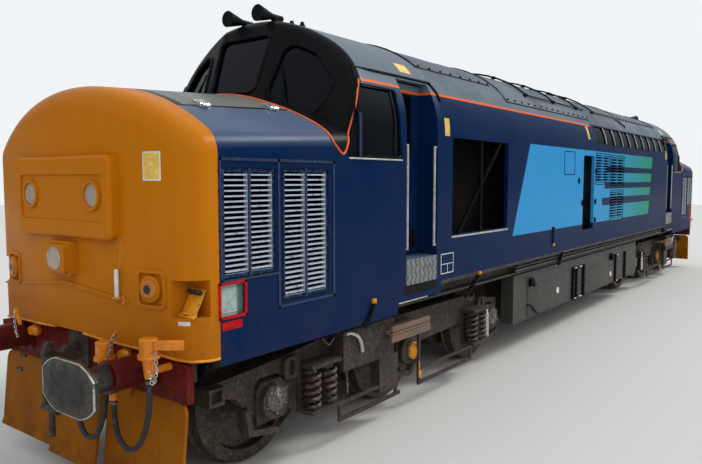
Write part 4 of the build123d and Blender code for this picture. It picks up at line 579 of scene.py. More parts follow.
class Shape:
    """Geometry collected for one piece."""

    def __init__(self):
        self.mesh = bmesh.new()

    def block(self, size, place, rounded=0.0):
        """Block of a size at a place, given as a matrix, with rounded edges."""
        made = bmesh.ops.create_cube(self.mesh, size=1.0, matrix=place @ Matrix.Diagonal((*size, 1.0)))
        if rounded:
            edges = list({edge for vertex in made["verts"] for edge in vertex.link_edges})
            bmesh.ops.bevel(self.mesh, geom=edges, offset=rounded, segments=2, affect="EDGES", profile=0.6)

    def box(self, x0, x1, y0, y1, z0, z1, rounded=0.003):
        """Block between two corners."""
        centre = Vector(((x0 + x1) / 2, (y0 + y1) / 2, (z0 + z1) / 2))
        self.block((abs(x1 - x0), abs(y1 - y0), abs(z1 - z0)), Matrix.Translation(centre), rounded)

    def beam(self, start, end, wide, high, up=UP, rounded=0.003):
        """Flat bar from start to end, wide across and high along up."""
        start, end = Vector(start), Vector(end)
        along = (end - start).normalized()
        side = Vector(up).cross(along).normalized()
        turn = Matrix((along, side, along.cross(side))).transposed().to_4x4()
        place = Matrix.Translation((start + end) / 2) @ turn
        self.block(((end - start).length, wide, high), place, rounded)

    def patch(self, place, u0, u1, v0, v1, thick, columns, rows):
        """Thin plate that follows a surface, which place(u, v, lift) gives."""
        inner, outer = (
            [
                [
                    self.mesh.verts.new(place(u0 + (u1 - u0) * i / columns, v0 + (v1 - v0) * j / rows, lift))
                    for j in range(rows + 1)
                ]
                for i in range(columns + 1)
            ]
            for lift in (-0.002, thick)
        )
        for layer in (inner, outer):
            for i in range(columns):
                for j in range(rows):
                    self.mesh.faces.new((layer[i][j], layer[i + 1][j], layer[i + 1][j + 1], layer[i][j + 1]))
        around = [(i, 0) for i in range(columns)] + [(columns, j) for j in range(rows)]
        around += [(i, rows) for i in range(columns, 0, -1)] + [(0, j) for j in range(rows, 0, -1)]
        for (a, b), (c, d) in zip(around, around[1:] + around[:1]):
            self.mesh.faces.new((inner[a][b], inner[c][d], outer[c][d], outer[a][b]))

    def ring(self, centre, side, other, radius, sides):
        """Points of a circle round a centre, in the plane of two directions."""
        return [
            self.mesh.verts.new(centre + (side * math.cos(a) + other * math.sin(a)) * radius)
            for a in (math.tau * step / sides for step in range(sides))
        ]

    def tube(self, points, radius, sides=8, closed=False):
        """Round bar along a line of points."""
        path = [Vector(point) for point in points]
        count = len(path)
        rings = []
        turn = None
        for index, point in enumerate(path):
            before = path[index - 1] if closed or index else point
            after = path[(index + 1) % count] if closed or index < count - 1 else point
            along = (after - before).normalized()
            turn = along.orthogonal() if turn is None else turn - along * turn.dot(along)
            turn.normalize()
            wide = 1.0
            if before != point != after:
                wide = 1 / max(0.5, math.cos((point - before).angle(after - point) / 2))
            rings.append(self.ring(point, turn, along.cross(turn), radius * wide, sides))
        for low, high in zip(rings, rings[1:] + (rings[:1] if closed else [])):
            for step in range(sides):
                other = (step + 1) % sides
                self.mesh.faces.new((low[step], low[other], high[other], high[step]))
        if not closed:
            self.mesh.faces.new(list(reversed(rings[0])))
            self.mesh.faces.new(rings[-1])

    def rim(self, place, corners, radius, grow, wire, lift=0.0, sides=6, steps=4):
        """Round bar along a polygon's rounded outline, on a surface that place(u, v, lift) gives."""
        outline = rounded(corners, radius, grow, steps)
        self.tube([place(u, v, lift) for u, v in outline], wire, sides, closed=True)

    def bolt(self, at, axis, radius=0.014, height=0.012):
        """Hexagon head with its chamfer."""
        self.lathe([(-0.002, radius), (height * 0.75, radius), (height, radius * 0.82)], at, axis, 6)

    def chain(self, points):
        """Chain of oval links along a smooth line of points, every other one turned."""
        path = smooth(points, 12)
        travelled = 0.0
        made = 0
        for before, after in zip(path, path[1:]):
            travelled += (after - before).length
            if travelled < made * LINK_PITCH:
                continue
            along = (after - before).normalized()
            side = along.orthogonal().normalized()
            if made % 2:
                side = along.cross(side)
            oval = [
                after + along * (math.cos(a) * LINK_LENGTH / 2) + side * (math.sin(a) * LINK_WIDTH / 2)
                for a in (math.tau * step / 8 for step in range(8))
            ]
            self.tube(oval, LINK_WIRE, 5, closed=True)
            made += 1

    def lathe(self, profile, at, axis, sides=24, closed=True):
        """Turned form: profile of (along, radius) about an axis through at, closed at its ends."""
        axis = Vector(axis).normalized()
        side = axis.orthogonal().normalized()
        other = axis.cross(side)
        if closed:
            profile = [(profile[0][0], 0), *profile]
            if profile[-1][1]:
                profile.append((profile[-1][0], 0))
        rings = []
        for along, radius in profile:
            centre = Vector(at) + axis * along
            if radius:
                rings.append(self.ring(centre, side, other, radius, sides))
            else:
                rings.append([self.mesh.verts.new(centre)])
        for low, high in zip(rings, rings[1:]):
            for step in range(sides):
                after = (step + 1) % sides
                pairs = ((low, step), (low, after), (high, after), (high, step))
                corners = list(dict.fromkeys(ring[index % len(ring)] for ring, index in pairs))
                if len(corners) > 2:
                    self.mesh.faces.new(corners)

    def done(self, name, finish, body="body", sides=True, ends=True, end=1):
        """Makes the piece, copied across the centre line and to the rear end, or turned to the rear end."""
        bmesh.ops.recalc_face_normals(self.mesh, faces=self.mesh.faces)
        if sides:
            self.copy(Matrix.Scale(-1, 4, LEFT), True)
        if ends:
            self.copy(HALF_TURN, False)
        if end < 0:
            bmesh.ops.transform(self.mesh, matrix=HALF_TURN, verts=self.mesh.verts)
        bmesh.ops.translate(self.mesh, verts=self.mesh.verts, vec=RAISED)
        data = bpy.data.meshes.new(name)
        self.mesh.to_mesh(data)
        self.mesh.free()
        data.polygons.foreach_set("use_smooth", [True] * len(data.polygons))
        data.set_sharp_from_angle(angle=SHARP_ANGLE)
        data.materials.append(finishes[finish])
        piece = in_scene(name, data)
        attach(piece, body)
        return piece

    def copy(self, matrix, flipped):
        whole = self.mesh.verts[:] + self.mesh.edges[:] + self.mesh.faces[:]
        made = bmesh.ops.duplicate(self.mesh, geom=whole)["geom"]
        verts = [item for item in made if isinstance(item, bmesh.types.BMVert)]
        faces = [item for item in made if isinstance(item, bmesh.types.BMFace)]
        bmesh.ops.transform(self.mesh, matrix=matrix, verts=verts)
        if flipped:
            bmesh.ops.reverse_faces(self.mesh, faces=faces)


def smooth(points, steps=6):
    """Points along a smooth line through the given ones."""
    path = [Vector(point) for point in points]
    path = [path[0] * 2 - path[1], *path, path[-1] * 2 - path[-2]]
    line = []
    for a, b, c, d in zip(path, path[1:], path[2:], path[3:]):
        square = a * 2 - b * 5 + c * 4 - d
        cube = b * 3 - a - c * 3 + d
        for step in range(steps):
            t = step / steps
            line.append((b * 2 + (c - a) * t + square * t ** 2 + cube * t ** 3) / 2)
    return [*line, path[-2]]


def rounded(corners, radius, grow, steps):
    """Outline of a polygon with rounded corners, as flat points, its corners moved out by grow."""
    middle = sum((Vector(corner) for corner in corners), Vector((0, 0))) / len(corners)
    places = [Vector(corner) + (Vector(corner) - middle).normalized() * grow for corner in corners]
    outline = []
    for index, here in enumerate(places):
        before = places[index - 1] - here
        after = places[(index + 1) % len(places)] - here
        reach = radius / math.tan(before.angle(after) / 2)
        start = here + before.normalized() * reach
        end = here + after.normalized() * reach
        for step in range(steps + 1):
            t = step / steps
            outline.append(start.lerp(here, t).lerp(here.lerp(end, t), t))
    return outline


def rectangle(x0, x1, z0, z1):
    return (x0, z0), (x1, z0), (x1, z1), (x0, z1)


def stepped(start, end, count):
    """Numbers from start to end, evenly apart."""
    return [start + (end - start) * index / (count - 1) for index in range(count)]


class Skin:
    """The outside of some nodes, on which things are placed."""

    def __init__(self, *names):
        self.trees = []
        for name in names:
            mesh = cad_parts[name].data
            corners = [tuple(polygon.vertices) for polygon in mesh.polygons]
            self.trees.append(BVHTree.FromPolygons([vertex.co for vertex in mesh.vertices], corners))

    def hit(self, start, toward, lift):
        """First place met from start, lifted off the surface."""
        found = [tree.ray_cast(Vector(start) + RAISED, Vector(toward)) for tree in self.trees]
        place, normal, _, _ = min((item for item in found if item[0] is not None), key=lambda item: item[3])
        return place + normal * lift - RAISED

    def side(self, x, z, lift):
        return self.hit((x, 3.0, z), (0, -1, 0), lift)

    def line(self, points, lift):
        """Places on the left side for a row of (x, z)."""
        return [self.side(x, z, lift) for x, z in points]

    def top(self, x, y, lift=0.0):
        return self.hit((x, y, 6.0), (0, 0, -1), lift)

    def front(self, y, z, lift=0.0):
        return self.hit((12.0, y, z), (-1, 0, 0), lift)


def flat(y):
    """Upright plane at y, for plates and rims."""
    return lambda x, z, lift: Vector((x, y + lift, z))


side_plane = flat(HALF_WIDTH)


def on_screen(y, z, lift=0.0):
    """Place on the windscreen's planes."""
    sweep = max(abs(y) - SCREEN_POST_Y, 0.0)
    x = SCREEN_FOOT_X - (sweep + z - SCREEN_FOOT_Z) * SCREEN_SLOPE
    normal = Vector((1, math.copysign(SCREEN_SLOPE, y) if sweep else 0, SCREEN_SLOPE)).normalized()
    return Vector((x, y, z)) + normal * lift


# Stage

# Suns: name, strength, then width, tilt from upright and heading in degrees
SUNS = (("key", 1.7, 14, 50, 150), ("fill", 0.7, 60, 60, 55))


def make_stage():
    """Pale floor, soft light and the photograph's camera."""
    reach = 60.0
    data = bpy.data.meshes.new("floor")
    data.from_pydata([(x, y, 0) for x, y in rectangle(-reach, reach, -reach, reach)], [], [(0, 1, 2, 3)])
    Surface("floor", "c9c9c6", 0.85)
    data.materials.append(finishes["floor"])
    floor = in_scene("floor", data)

    world = bpy.data.worlds.new("studio")
    bpy.context.scene.world = world
    world.use_nodes = True
    nodes = world.node_tree.nodes
    link = world.node_tree.links.new
    light = nodes["Background"]
    light.inputs["Color"].default_value = (0.93, 0.96, 1.0, 1.0)
    ways = nodes.new("ShaderNodeSeparateXYZ")
    link(nodes.new("ShaderNodeTexCoord").outputs["Generated"], ways.inputs[0])
    rise = nodes.new("ShaderNodeMapRange")
    rise.inputs["From Max"].default_value = 0.8
    rise.inputs["To Min"].default_value = 0.22
    rise.inputs["To Max"].default_value = 0.95
    link(ways.outputs["Z"], rise.inputs["Value"])
    link(rise.outputs["Result"], light.inputs["Strength"])
    seen = nodes.new("ShaderNodeBackground")
    seen.inputs["Color"].default_value = (0.93, 0.95, 0.97, 1.0)
    seen.inputs["Strength"].default_value = 0.95
    path = nodes.new("ShaderNodeLightPath")
    mix = nodes.new("ShaderNodeMixShader")
    rays = nodes.new("ShaderNodeMath")
    rays.operation = "MAXIMUM"
    link(path.outputs["Is Camera Ray"], rays.inputs[0])
    link(path.outputs["Is Transmission Ray"], rays.inputs[1])
    link(rays.outputs[0], mix.inputs["Fac"])
    link(light.outputs[0], mix.inputs[1])
    link(seen.outputs[0], mix.inputs[2])
    link(mix.outputs[0], nodes["World Output"].inputs["Surface"])

    for name, strength, *angles in SUNS:
        width, tilt, heading = (math.radians(angle) for angle in angles)
        lamp = bpy.data.lights.new(name, "SUN")
        lamp.energy = strength
        lamp.angle = width
        lamp.color = (1.0, 0.98, 0.95)
        level = math.sin(tilt)
        toward = Vector((math.cos(heading) * level, math.sin(heading) * level, math.cos(tilt)))
        sun = in_scene(name, lamp)
        sun.rotation_mode = "QUATERNION"
        sun.rotation_quaternion = toward.to_track_quat("Z", "Y")

    camera = in_scene("camera", bpy.data.cameras.new("camera"))
    camera.location = Vector(CAMERA_AT) + RAISED
    camera.rotation_euler = (math.pi / 2 + CAMERA_PITCH, 0, CAMERA_YAW - math.pi / 2)
    camera.data.lens = CAMERA_LENS
    camera.data.clip_end = 200.0
    bpy.context.scene.camera = camera
    bpy.context.scene.view_settings.view_transform = "Standard"


# Hoses

HOSE_RADIUS = 0.02

# The left front hoses: name, length and line
HOSES = (
    ("outer", 1.08, (
        (8.93, 1.13, 1.06), (8.93, 1.13, 0.93), (8.936, 1.117, 0.79), (8.943, 1.076, 0.655),
        (8.946, 1.0, 0.55), (8.944, 0.9, 0.502), (8.938, 0.798, 0.52), (8.93, 0.724, 0.595),
        (8.924, 0.69, 0.7), (8.924, 0.69, 0.82),
    )),
    ("inner", 0.975, (
        (8.93, 0.6, 0.96), (8.93, 0.6, 0.84), (8.937, 0.588, 0.715), (8.943, 0.55, 0.595),
        (8.946, 0.48, 0.505), (8.944, 0.392, 0.468), (8.938, 0.3, 0.49), (8.93, 0.236, 0.562),
        (8.924, 0.205, 0.66), (8.924, 0.205, 0.77),
    )),
)


def hose(name, points, end):
    """One hanging brake hose as a smooth curve."""
    data = bpy.data.curves.new(name, "CURVE")
    data.dimensions = "3D"
    data.bevel_depth = HOSE_RADIUS
    data.bevel_resolution = 5
    data.resolution_u = 12
    data.use_fill_caps = True
    spline = data.splines.new("NURBS")
    spline.points.add(len(points) - 1)
    placed = [Vector((end * x, end * y, z + RAIL)) for x, y, z in points]
    for point, place in zip(spline.points, placed):
        point.co = (*place, 1.0)
    spline.order_u = 3
    spline.use_endpoint_u = True
    data.materials.append(finishes["hose_rubber"])
    piece = in_scene(name, data)
    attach(piece, "body")
    return piece


def hoses():
    """The four brake hoses."""
    for where, end in ENDS:
        for kind, length, points in HOSES:
            piece = hose(f"brake_hose_{where}_{kind}", points, end)
            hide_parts(f"hose_{where}_{kind}")


# Cab and windows

SIDE_WINDOW = ((6.154, 2.605), (6.995, 2.605), (6.74, 3.25), (6.19, 3.25))
CENTRE_PANE = ((-0.3, 3.235), (0.3, 3.235), (0.34, 3.79), (-0.34, 3.79))
OUTER_PANE = ((0.44, 3.185), (0.95, 2.975), (1.05, 3.29), (0.84, 3.56), (0.52, 3.715))


def window_trim(skin):
    """Rubbers, sills, sliding frames and wipers of the cab windows."""
    rubber = Shape()
    rubber.rim(on_screen, OUTER_PANE, 0.13, 0.012, 0.018, 0.002, 8, 6)
    rubber.rim(skin.side, SIDE_WINDOW, 0.045, 0.014, 0.009, 0.002, 8)
    rubber.done("window_rubbers", "trim_black")
    rubber = Shape()
    rubber.rim(on_screen, CENTRE_PANE, 0.08, 0.012, 0.016, 0.002, 8)
    rubber.done("centre_window_rubbers", "trim_black", sides=False)

    def in_window(x, z, lift):
        place = skin.side(6.07, z, lift - 0.024)
        return Vector((x, place.y, place.z))

    frames = Shape()
    frames.patch(in_window, 6.795, 6.83, 2.6, 3.0, 0.018, 1, 8)
    frames.done("sliding_frames", "navy_trim")
    frames = Shape()
    frames.patch(in_window, 6.232, 6.262, 2.6, 3.252, 0.014, 1, 8)
    frames.patch(in_window, 6.19, 6.795, 2.603, 2.622, 0.012, 6, 1)
    frames.done("sliding_edges", "trim_black")
    sills = Shape()
    sills.tube([skin.side(x, 2.588, 0.006) for x in (6.15, 6.4, 6.7, 7.0)], 0.008)
    sills.box(5.64, 6.19, HALF_WIDTH, HALF_WIDTH + 0.006, 1.174, 1.186, 0.001)
    sills.done("bright_sills", "pale_rail")

    wipers = Shape()
    wipers.lathe([(0, 0.026), (0.014, 0.024), (0.02, 0.012), (0.034, 0.011)],
                 on_screen(0.64, 3.105), (1, 0.36, 0.36), 12)
    wipers.beam(on_screen(0.64, 3.105, 0.034), on_screen(0.57, 3.33, 0.026), 0.016, 0.01, FORWARD)
    wipers.beam(on_screen(0.615, 3.19, 0.012), on_screen(0.52, 3.48, 0.012), 0.01, 0.016, FORWARD)
    wipers.beam(on_screen(0.585, 3.3, 0.02), on_screen(0.552, 3.375, 0.02), 0.012, 0.014, FORWARD)
    wipers.done("wipers", "trim_black")


# Outer face of a cab door
DOOR_Y = 1.111


def door_trim():
    """Window rubber and kick plate of each cab door, riding on it."""
    for where, end, hands in (("front", 1, ("left", "right")), ("rear", -1, ("right", "left"))):
        for side, hand in zip((1, -1), hands):
            shape = Shape()
            window = rectangle(5.61, 5.89, 2.64, 3.27)
            shape.rim(flat(side * (DOOR_Y + 0.001)), window, 0.05, 0.01, 0.009, sides=8)
            shape.box(5.5, 6.01, side * DOOR_Y, side * (DOOR_Y + 0.004), 1.68, 1.86, 0.001)
            for x in (5.53, 5.755, 5.98):
                for z in (1.705, 1.835):
                    shape.bolt((x, side * (DOOR_Y + 0.003), z), (0, side, 0), 0.008, 0.005)
            shape.done(f"door_trim_{where}_{hand}", "trim_black", f"cab_door_{where}_{hand}",
                       sides=False, ends=False, end=end)


def gutters(skin):
    """Rain strips over the cab side and down its windscreen pillar."""
    strip = Shape()
    head = [(x, 3.425) for x in stepped(6.72, 5.4, 6)]
    strip.tube(skin.line([*head, (5.335, 3.33), (5.3, 3.235)], 0.008), 0.013)
    strip.tube(skin.line((
        (6.722, 3.425), (6.734, 3.36), (6.747, 3.307), (6.76, 3.259), (6.788, 3.203), (6.807, 3.147),
        (6.83, 3.082), (6.856, 3.009), (6.88, 2.945),
    ), 0.006), 0.01)
    strip.done("cab_gutters", "trim_black")


def stripe_beads(skin):
    """Orange line at the foot of the windscreens and up the pillars to the cantrail line."""
    foot = [
        skin.top(FOOT_LINE_X - max(y - FOOT_BEND_Y, 0) * FOOT_SWEEP, y, 0.003)
        for y in (0.0, 0.2, 0.4, 0.55, 0.68, 0.85, 1.0, 1.12, 1.2)
    ]
    pillar = skin.line((
        (7.215, 2.8), (7.207, 2.755), (7.19, 2.71), (7.15, 2.665), (7.105, 2.63), (7.072, 2.622),
        (7.038, 2.656), (6.985, 2.736), (6.938, 2.801), (6.899, 2.865), (6.871, 2.937), (6.842, 3.009),
        (6.814, 3.082), (6.79, 3.147), (6.769, 3.203), (6.74, 3.261), (6.722, CANTRAIL_LINE_Z),
    ), 0.002)
    bead = Shape()
    bead.tube(smooth([*foot, *pillar], 3), 0.01)
    bead.done("stripe_beads", "stripe_orange")


# Nose

# Grilles of the nose side: x from and to, z from and to
GRILLES = ((7.29, 7.84, 1.46, 2.485), (7.93, 8.46, 1.7, 2.48))


def nose_trim(skin):
    """Catches, grille frames, cable box, corner socket, blank plates, bar and valance lip."""
    catches = Shape()
    for x in (8.25, 7.5):
        seat = skin.top(x, 0.9)
        catches.box(x - 0.055, x + 0.055, 0.862, 0.948, seat.z - 0.018, seat.z + 0.012, 0.004)
        catches.beam(skin.top(x, 0.86, 0.026), skin.top(x, 0.96, 0.02), 0.034, 0.01)
        loop = rectangle(x - 0.04, x + 0.04, 0.85, 0.935)
        catches.tube([skin.top(*corner, 0.022) for corner in loop], 0.006, 6, closed=True)
        catches.lathe([(-0.03, 0.012), (0.03, 0.012)], skin.top(x, 0.95, 0.022), FORWARD, 8)
    catches.done("nose_catches", "bright_catch")

    grille = Shape()
    for x0, x1, z0, z1 in (
        (7.2, 8.48, 2.535, 2.557), (7.2, 7.224, 1.405, 2.557), (7.2, 7.9, 1.405, 1.425),
        (7.874, 7.896, 1.405, 2.557), (7.896, 8.48, 1.672, 1.69), (8.462, 8.484, 1.672, 2.557),
        (7.556, 7.58, 1.455, 2.49), (8.184, 8.206, 1.695, 2.485),
    ):
        grille.patch(side_plane, x0, x1, z0, z1, 0.006, 1, 1)
    grille.done("nose_grille_frames", "navy_trim")
    grille = Shape()
    for x0, x1, z0, z1 in GRILLES:
        grille.rim(side_plane, rectangle(x0, x1, z0, z1), 0.012, 0.004, 0.005)
        for x in (x0 - 0.028, x1 + 0.028):
            for z in stepped(z0 + 0.06, z1 - 0.02, 6):
                grille.bolt((x, HALF_WIDTH, z), LEFT, 0.007, 0.004)
    grille.done("grille_edges", "trim_black")

    box = Shape()
    for x0, x1, z0, z1 in (
        (8.232, 8.503, 1.652, 1.674), (8.232, 8.503, 1.406, 1.428), (8.232, 8.254, 1.406, 1.674),
        (8.481, 8.503, 1.406, 1.674),
    ):
        box.box(x0, x1, HALF_WIDTH - 0.004, HALF_WIDTH + 0.008, z0, z1, 0.002)
    box.patch(side_plane, 8.281, 8.472, 1.328, 1.387, 0.002, 1, 1)
    box.done("cable_box_frames", "frame_red")
    pane = Shape()
    pane.box(8.248, 8.487, 1.322, 1.33, 1.423, 1.657, 0.002)
    pane.rim(flat(1.331), rectangle(8.275, 8.46, 1.45, 1.63), 0.02, 0.0, 0.004)
    pane.done("cable_box_panes", "box_pane")

    socket = Shape()
    socket.beam((8.69, 1.25, 1.462), (8.592, 1.25, 1.64), 0.15, 0.01)
    socket.beam((8.715, 1.25, 1.456), (8.68, 1.25, 1.47), 0.16, 0.016)
    socket.tube(smooth(((8.7, 1.205, 1.47), (8.712, 1.24, 1.484), (8.69, 1.29, 1.478))), 0.008)
    socket.done("corner_socket_plates", "fitting_yellow")
    stubs = Shape()
    for y in (1.205, 1.25, 1.295):
        stubs.lathe([(-0.004, 0.018), (0.02, 0.017), (0.022, 0.012), (0.045, 0.011), (0.047, 0)],
                    (8.612, y, 1.612), (0.876, 0, 0.482), 12)
    stubs.done("corner_socket_stubs", "hose_rubber")
    label = Shape()
    label.patch(skin.front, 1.215, 1.29, 1.4, 1.428, 0.003, 4, 1)
    label.done("blank_nose_plates", "plate_white")
    sign = Shape()
    sign.patch(skin.front, 0.921, 1.087, 2.392, 2.594, 0.002, 3, 1)
    sign.done("blank_sign_rims", "plate_white", sides=False, ends=False)
    sign = Shape()
    sign.patch(skin.front, 0.933, 1.075, 2.404, 2.582, 0.004, 3, 1)
    sign.done("blank_signs", "plate_yellow", sides=False, ends=False)

    bar = Shape()
    foot = skin.front(0.658, 1.56)
    bar.lathe([(0, 0.014), (0.006, 0.017), (0.196, 0.017), (0.204, 0.012)],
              (foot.x + 0.026, 0.658, 1.552), UP, 14)
    bar.done("nose_bars", "plate_white", sides=False)
    bracket = Shape()
    bracket.box(foot.x - 0.004, foot.x + 0.05, 0.628, 0.7, 1.54, 1.552, 0.003)
    bracket.box(foot.x - 0.004, foot.x + 0.01, 0.69, 0.718, 1.5, 1.56, 0.003)
    for wire in (
        ((0.677, 1.955), (0.672, 1.88), (0.664, 1.8), (0.659, 1.762)),
        ((0.712, 1.955), (0.694, 1.88), (0.674, 1.8), (0.662, 1.762)),
    ):
        bracket.tube([skin.front(*place, 0.001) for place in wire], 0.004, 6)
    bracket.done("bar_brackets", "fitting_yellow", sides=False)

    lip = Shape()
    line = [skin.front(y, z, 0.004) for y, z in (
        (0.215, 1.225), (0.5, 1.208), (0.88, 1.19), (1.05, 1.173), (1.18, 1.16), (1.26, 1.154), (1.3, 1.15),
    )]
    line += [(8.64, 1.336, 1.146), (8.57, 1.351, 1.14), (8.5, 1.353, 1.138)]
    lip.tube(smooth(line, 3), 0.01)
    lip.done("valance_lips", "fitting_yellow")


def beam_trim():
    """Cock levers with their chains, hose clips, and bolts on the bufferbeams."""
    levers = Shape()
    levers.beam((8.93, 1.185, 1.296), (8.8, 1.338, 1.292), 0.04, 0.064, rounded=0.008)
    levers.lathe([(-0.03, 0.022), (0.03, 0.022)], (8.922, 1.198, 1.296), UP, 12)
    levers.beam((8.925, 1.19, 1.262), (8.925, 1.19, 1.23), 0.016, 0.03, FORWARD)
    levers.beam((8.93, 0.63, 1.19), (8.915, 0.735, 1.318), 0.014, 0.03, FORWARD)
    levers.lathe([(0, 0.045), (0.01, 0.052), (0.045, 0.052), (0.06, 0.04), (0.085, 0.036), (0.09, 0)],
                 (8.758, 0.655, 1.12), FORWARD, 20)
    levers.done("cock_levers", "cock_orange")
    chains = Shape()
    chains.chain(((8.925, 1.196, 1.25), (8.932, 1.212, 1.16), (8.938, 1.206, 1.07), (8.944, 1.185, 1.032),
                  (8.948, 1.166, 1.07), (8.952, 1.156, 1.13)))
    chains.chain(((8.925, 0.722, 1.3), (8.942, 0.7, 1.22), (8.95, 0.668, 1.13), (8.952, 0.645, 1.1)))
    chains.done("cock_chains", "bright_catch")
    clips = Shape()
    for x, y, z in ((8.93, 1.13, 1.02), (8.93, 0.6, 0.92), (8.924, 0.69, 0.786), (8.924, 0.205, 0.736)):
        clips.lathe([(0, 0.021), (0, 0.026), (0.004, 0.028), (0.02, 0.028), (0.024, 0.026), (0.024, 0.021)],
                    (x, y, z), UP, 16, closed=False)
        clips.box(x - 0.008, x + 0.008, y + 0.024, y + 0.042, z + 0.004, z + 0.02)
    clips.done("hose_clips", "worn_steel")
    bolts = Shape()
    for y in (0.42, 0.54, 0.66, 1.08, 1.17, 1.26):
        bolts.bolt((8.76, y, 0.886), FORWARD)
    for y, z in ((0.745, 0.97), (0.995, 0.97), (0.745, 1.14), (0.995, 1.14)):
        bolts.bolt((8.785, y, z), FORWARD, 0.016, 0.014)
    for z in (0.96, 1.05):
        bolts.bolt((8.76, 1.285, z), FORWARD)
    bolts.done("beam_bolts", "beam_red")


# Body

# Middle of the straps on the body side, from the centre line
STRAP_Y = 1.362


def side_trim(skin):
    """Plates, latches, hatch outlines, window posts and brackets of the body side. The window posts are pale
    as a painted highlight on their fronts.
    """
    plates = Shape()
    plates.patch(skin.side, 0.33, 0.425, 3.07, 3.285, 0.003, 1, 4)
    plates.done("blank_middle_plates", "plate_yellow", ends=False)
    plates = Shape()
    plates.patch(skin.side, 5.195, 5.3, 2.87, 3.06, 0.003, 1, 3)
    plates.patch(skin.side, 5.66, 5.87, 3.49, 3.59, 0.003, 2, 3)
    plates.done("blank_plates", "plate_yellow")
    panel = Shape()
    for x0, x1, z0, z1 in (
        (5.08, 5.36, 1.587, 1.595), (5.08, 5.36, 1.375, 1.383), (5.08, 5.088, 1.383, 1.587),
        (5.352, 5.36, 1.383, 1.587), (5.088, 5.352, 1.478, 1.484), (5.21, 5.216, 1.383, 1.478),
    ):
        panel.patch(skin.side, x0, x1, z0, z1, 0.002, 1, 1)
    panel.done("blank_data_panel", "plate_white", sides=False, ends=False)
    # Pale posts between the cantrail windows: painted highlight standing for light on their fronts
    posts = Shape()
    frames = Shape()
    for index in range(WINDOW_COUNT):
        x0 = WINDOW_X + WINDOW_PITCH * index
        x1 = x0 + WINDOW_WIDTH
        if index < WINDOW_COUNT - 1:
            posts.patch(skin.side, x1 + 0.01, x1 + 0.046, 3.028, 3.312, 0.005, 1, 6)
        frames.rim(skin.side, rectangle(x0, x1, *WINDOW_Z), 0.022, 0.006, 0.006)
    posts.done("window_posts", "pale_rail", ends=False)
    frames.done("cantrail_rubbers", "trim_black", ends=False)

    dark = Shape()
    for x0, x1, z0, z1 in (
        (-0.795, 0.04, 2.325, 2.85), (-1.7, -0.86, 2.26, 2.84), (-1.7, -0.86, 1.654, 2.2),
        (1.123, 1.582, 2.484, 2.831),
    ):
        dark.rim(side_plane, rectangle(x0, x1, z0, z1), 0.03, 0.008, 0.006)
    for x, z in ((0.045, 2.551), (0.045, 2.025), (0.045, 1.713), (0.918, 2.384), (0.735, 2.025)):
        dark.box(x - 0.022, x + 0.022, 1.348, 1.368, z - 0.034, z + 0.034, 0.005)
        dark.tube(((x, STRAP_Y, z - 0.05), (x, 1.374, z), (x, STRAP_Y, z + 0.05)), 0.007, 6)
    dark.beam((2.0, STRAP_Y, 1.455), (2.01, STRAP_Y, 1.69), 0.012, 0.048, FORWARD)
    dark.box(1.955, 2.06, HALF_WIDTH, HALF_WIDTH + 0.016, 1.66, 1.7, 0.005)
    for x0, z0, x1, z1 in (
        (6.757, 1.064, 6.635, 1.255), (4.783, 1.064, 4.46, 1.27), (1.78, 1.13, 1.62, 1.29),
    ):
        dark.beam((x0, STRAP_Y, z0), (x1, STRAP_Y, z1), 0.022, 0.052, LEFT)
        dark.lathe([(-0.004, 0.04), (0.012, 0.036), (0.02, 0.018)], (x0, STRAP_Y, z0 + 0.01), LEFT, 12)
    dark.done("side_latches", "trim_black", ends=False)
    tips = Shape()
    for x, z in ((6.628, 1.272), (4.45, 1.286)):
        tips.box(x - 0.026, x + 0.026, HALF_WIDTH, 1.378, z - 0.02, z + 0.024, 0.006)
        tips.bolt((x, 1.378, z), LEFT, 0.012, 0.006)
    tips.box(1.97, 2.035, 1.352, 1.374, 1.42, 1.458, 0.006)
    tips.done("strap_tips", "fitting_yellow", ends=False)

    sill = Shape()
    sill.patch(skin.side, 3.64, 5.13, 1.757, 1.777, 0.006, 6, 1)
    sill.done("radiator_sills", "pale_rail", ends=False)
    brackets = Shape()
    for x in stepped(-5.0, 3.2, 12):
        brackets.beam((x, 1.24, 1.152), (x, 1.346, 1.296), 0.022, 0.05)
    for y, z, radius in ((1.318, 1.175, 0.016), (1.325, 1.225, 0.01)):
        brackets.tube([(x, y, z) for x in (-5.1, 0.0, 3.3)], radius)
    brackets.done("solebar_pipes", "chassis_black", ends=False)


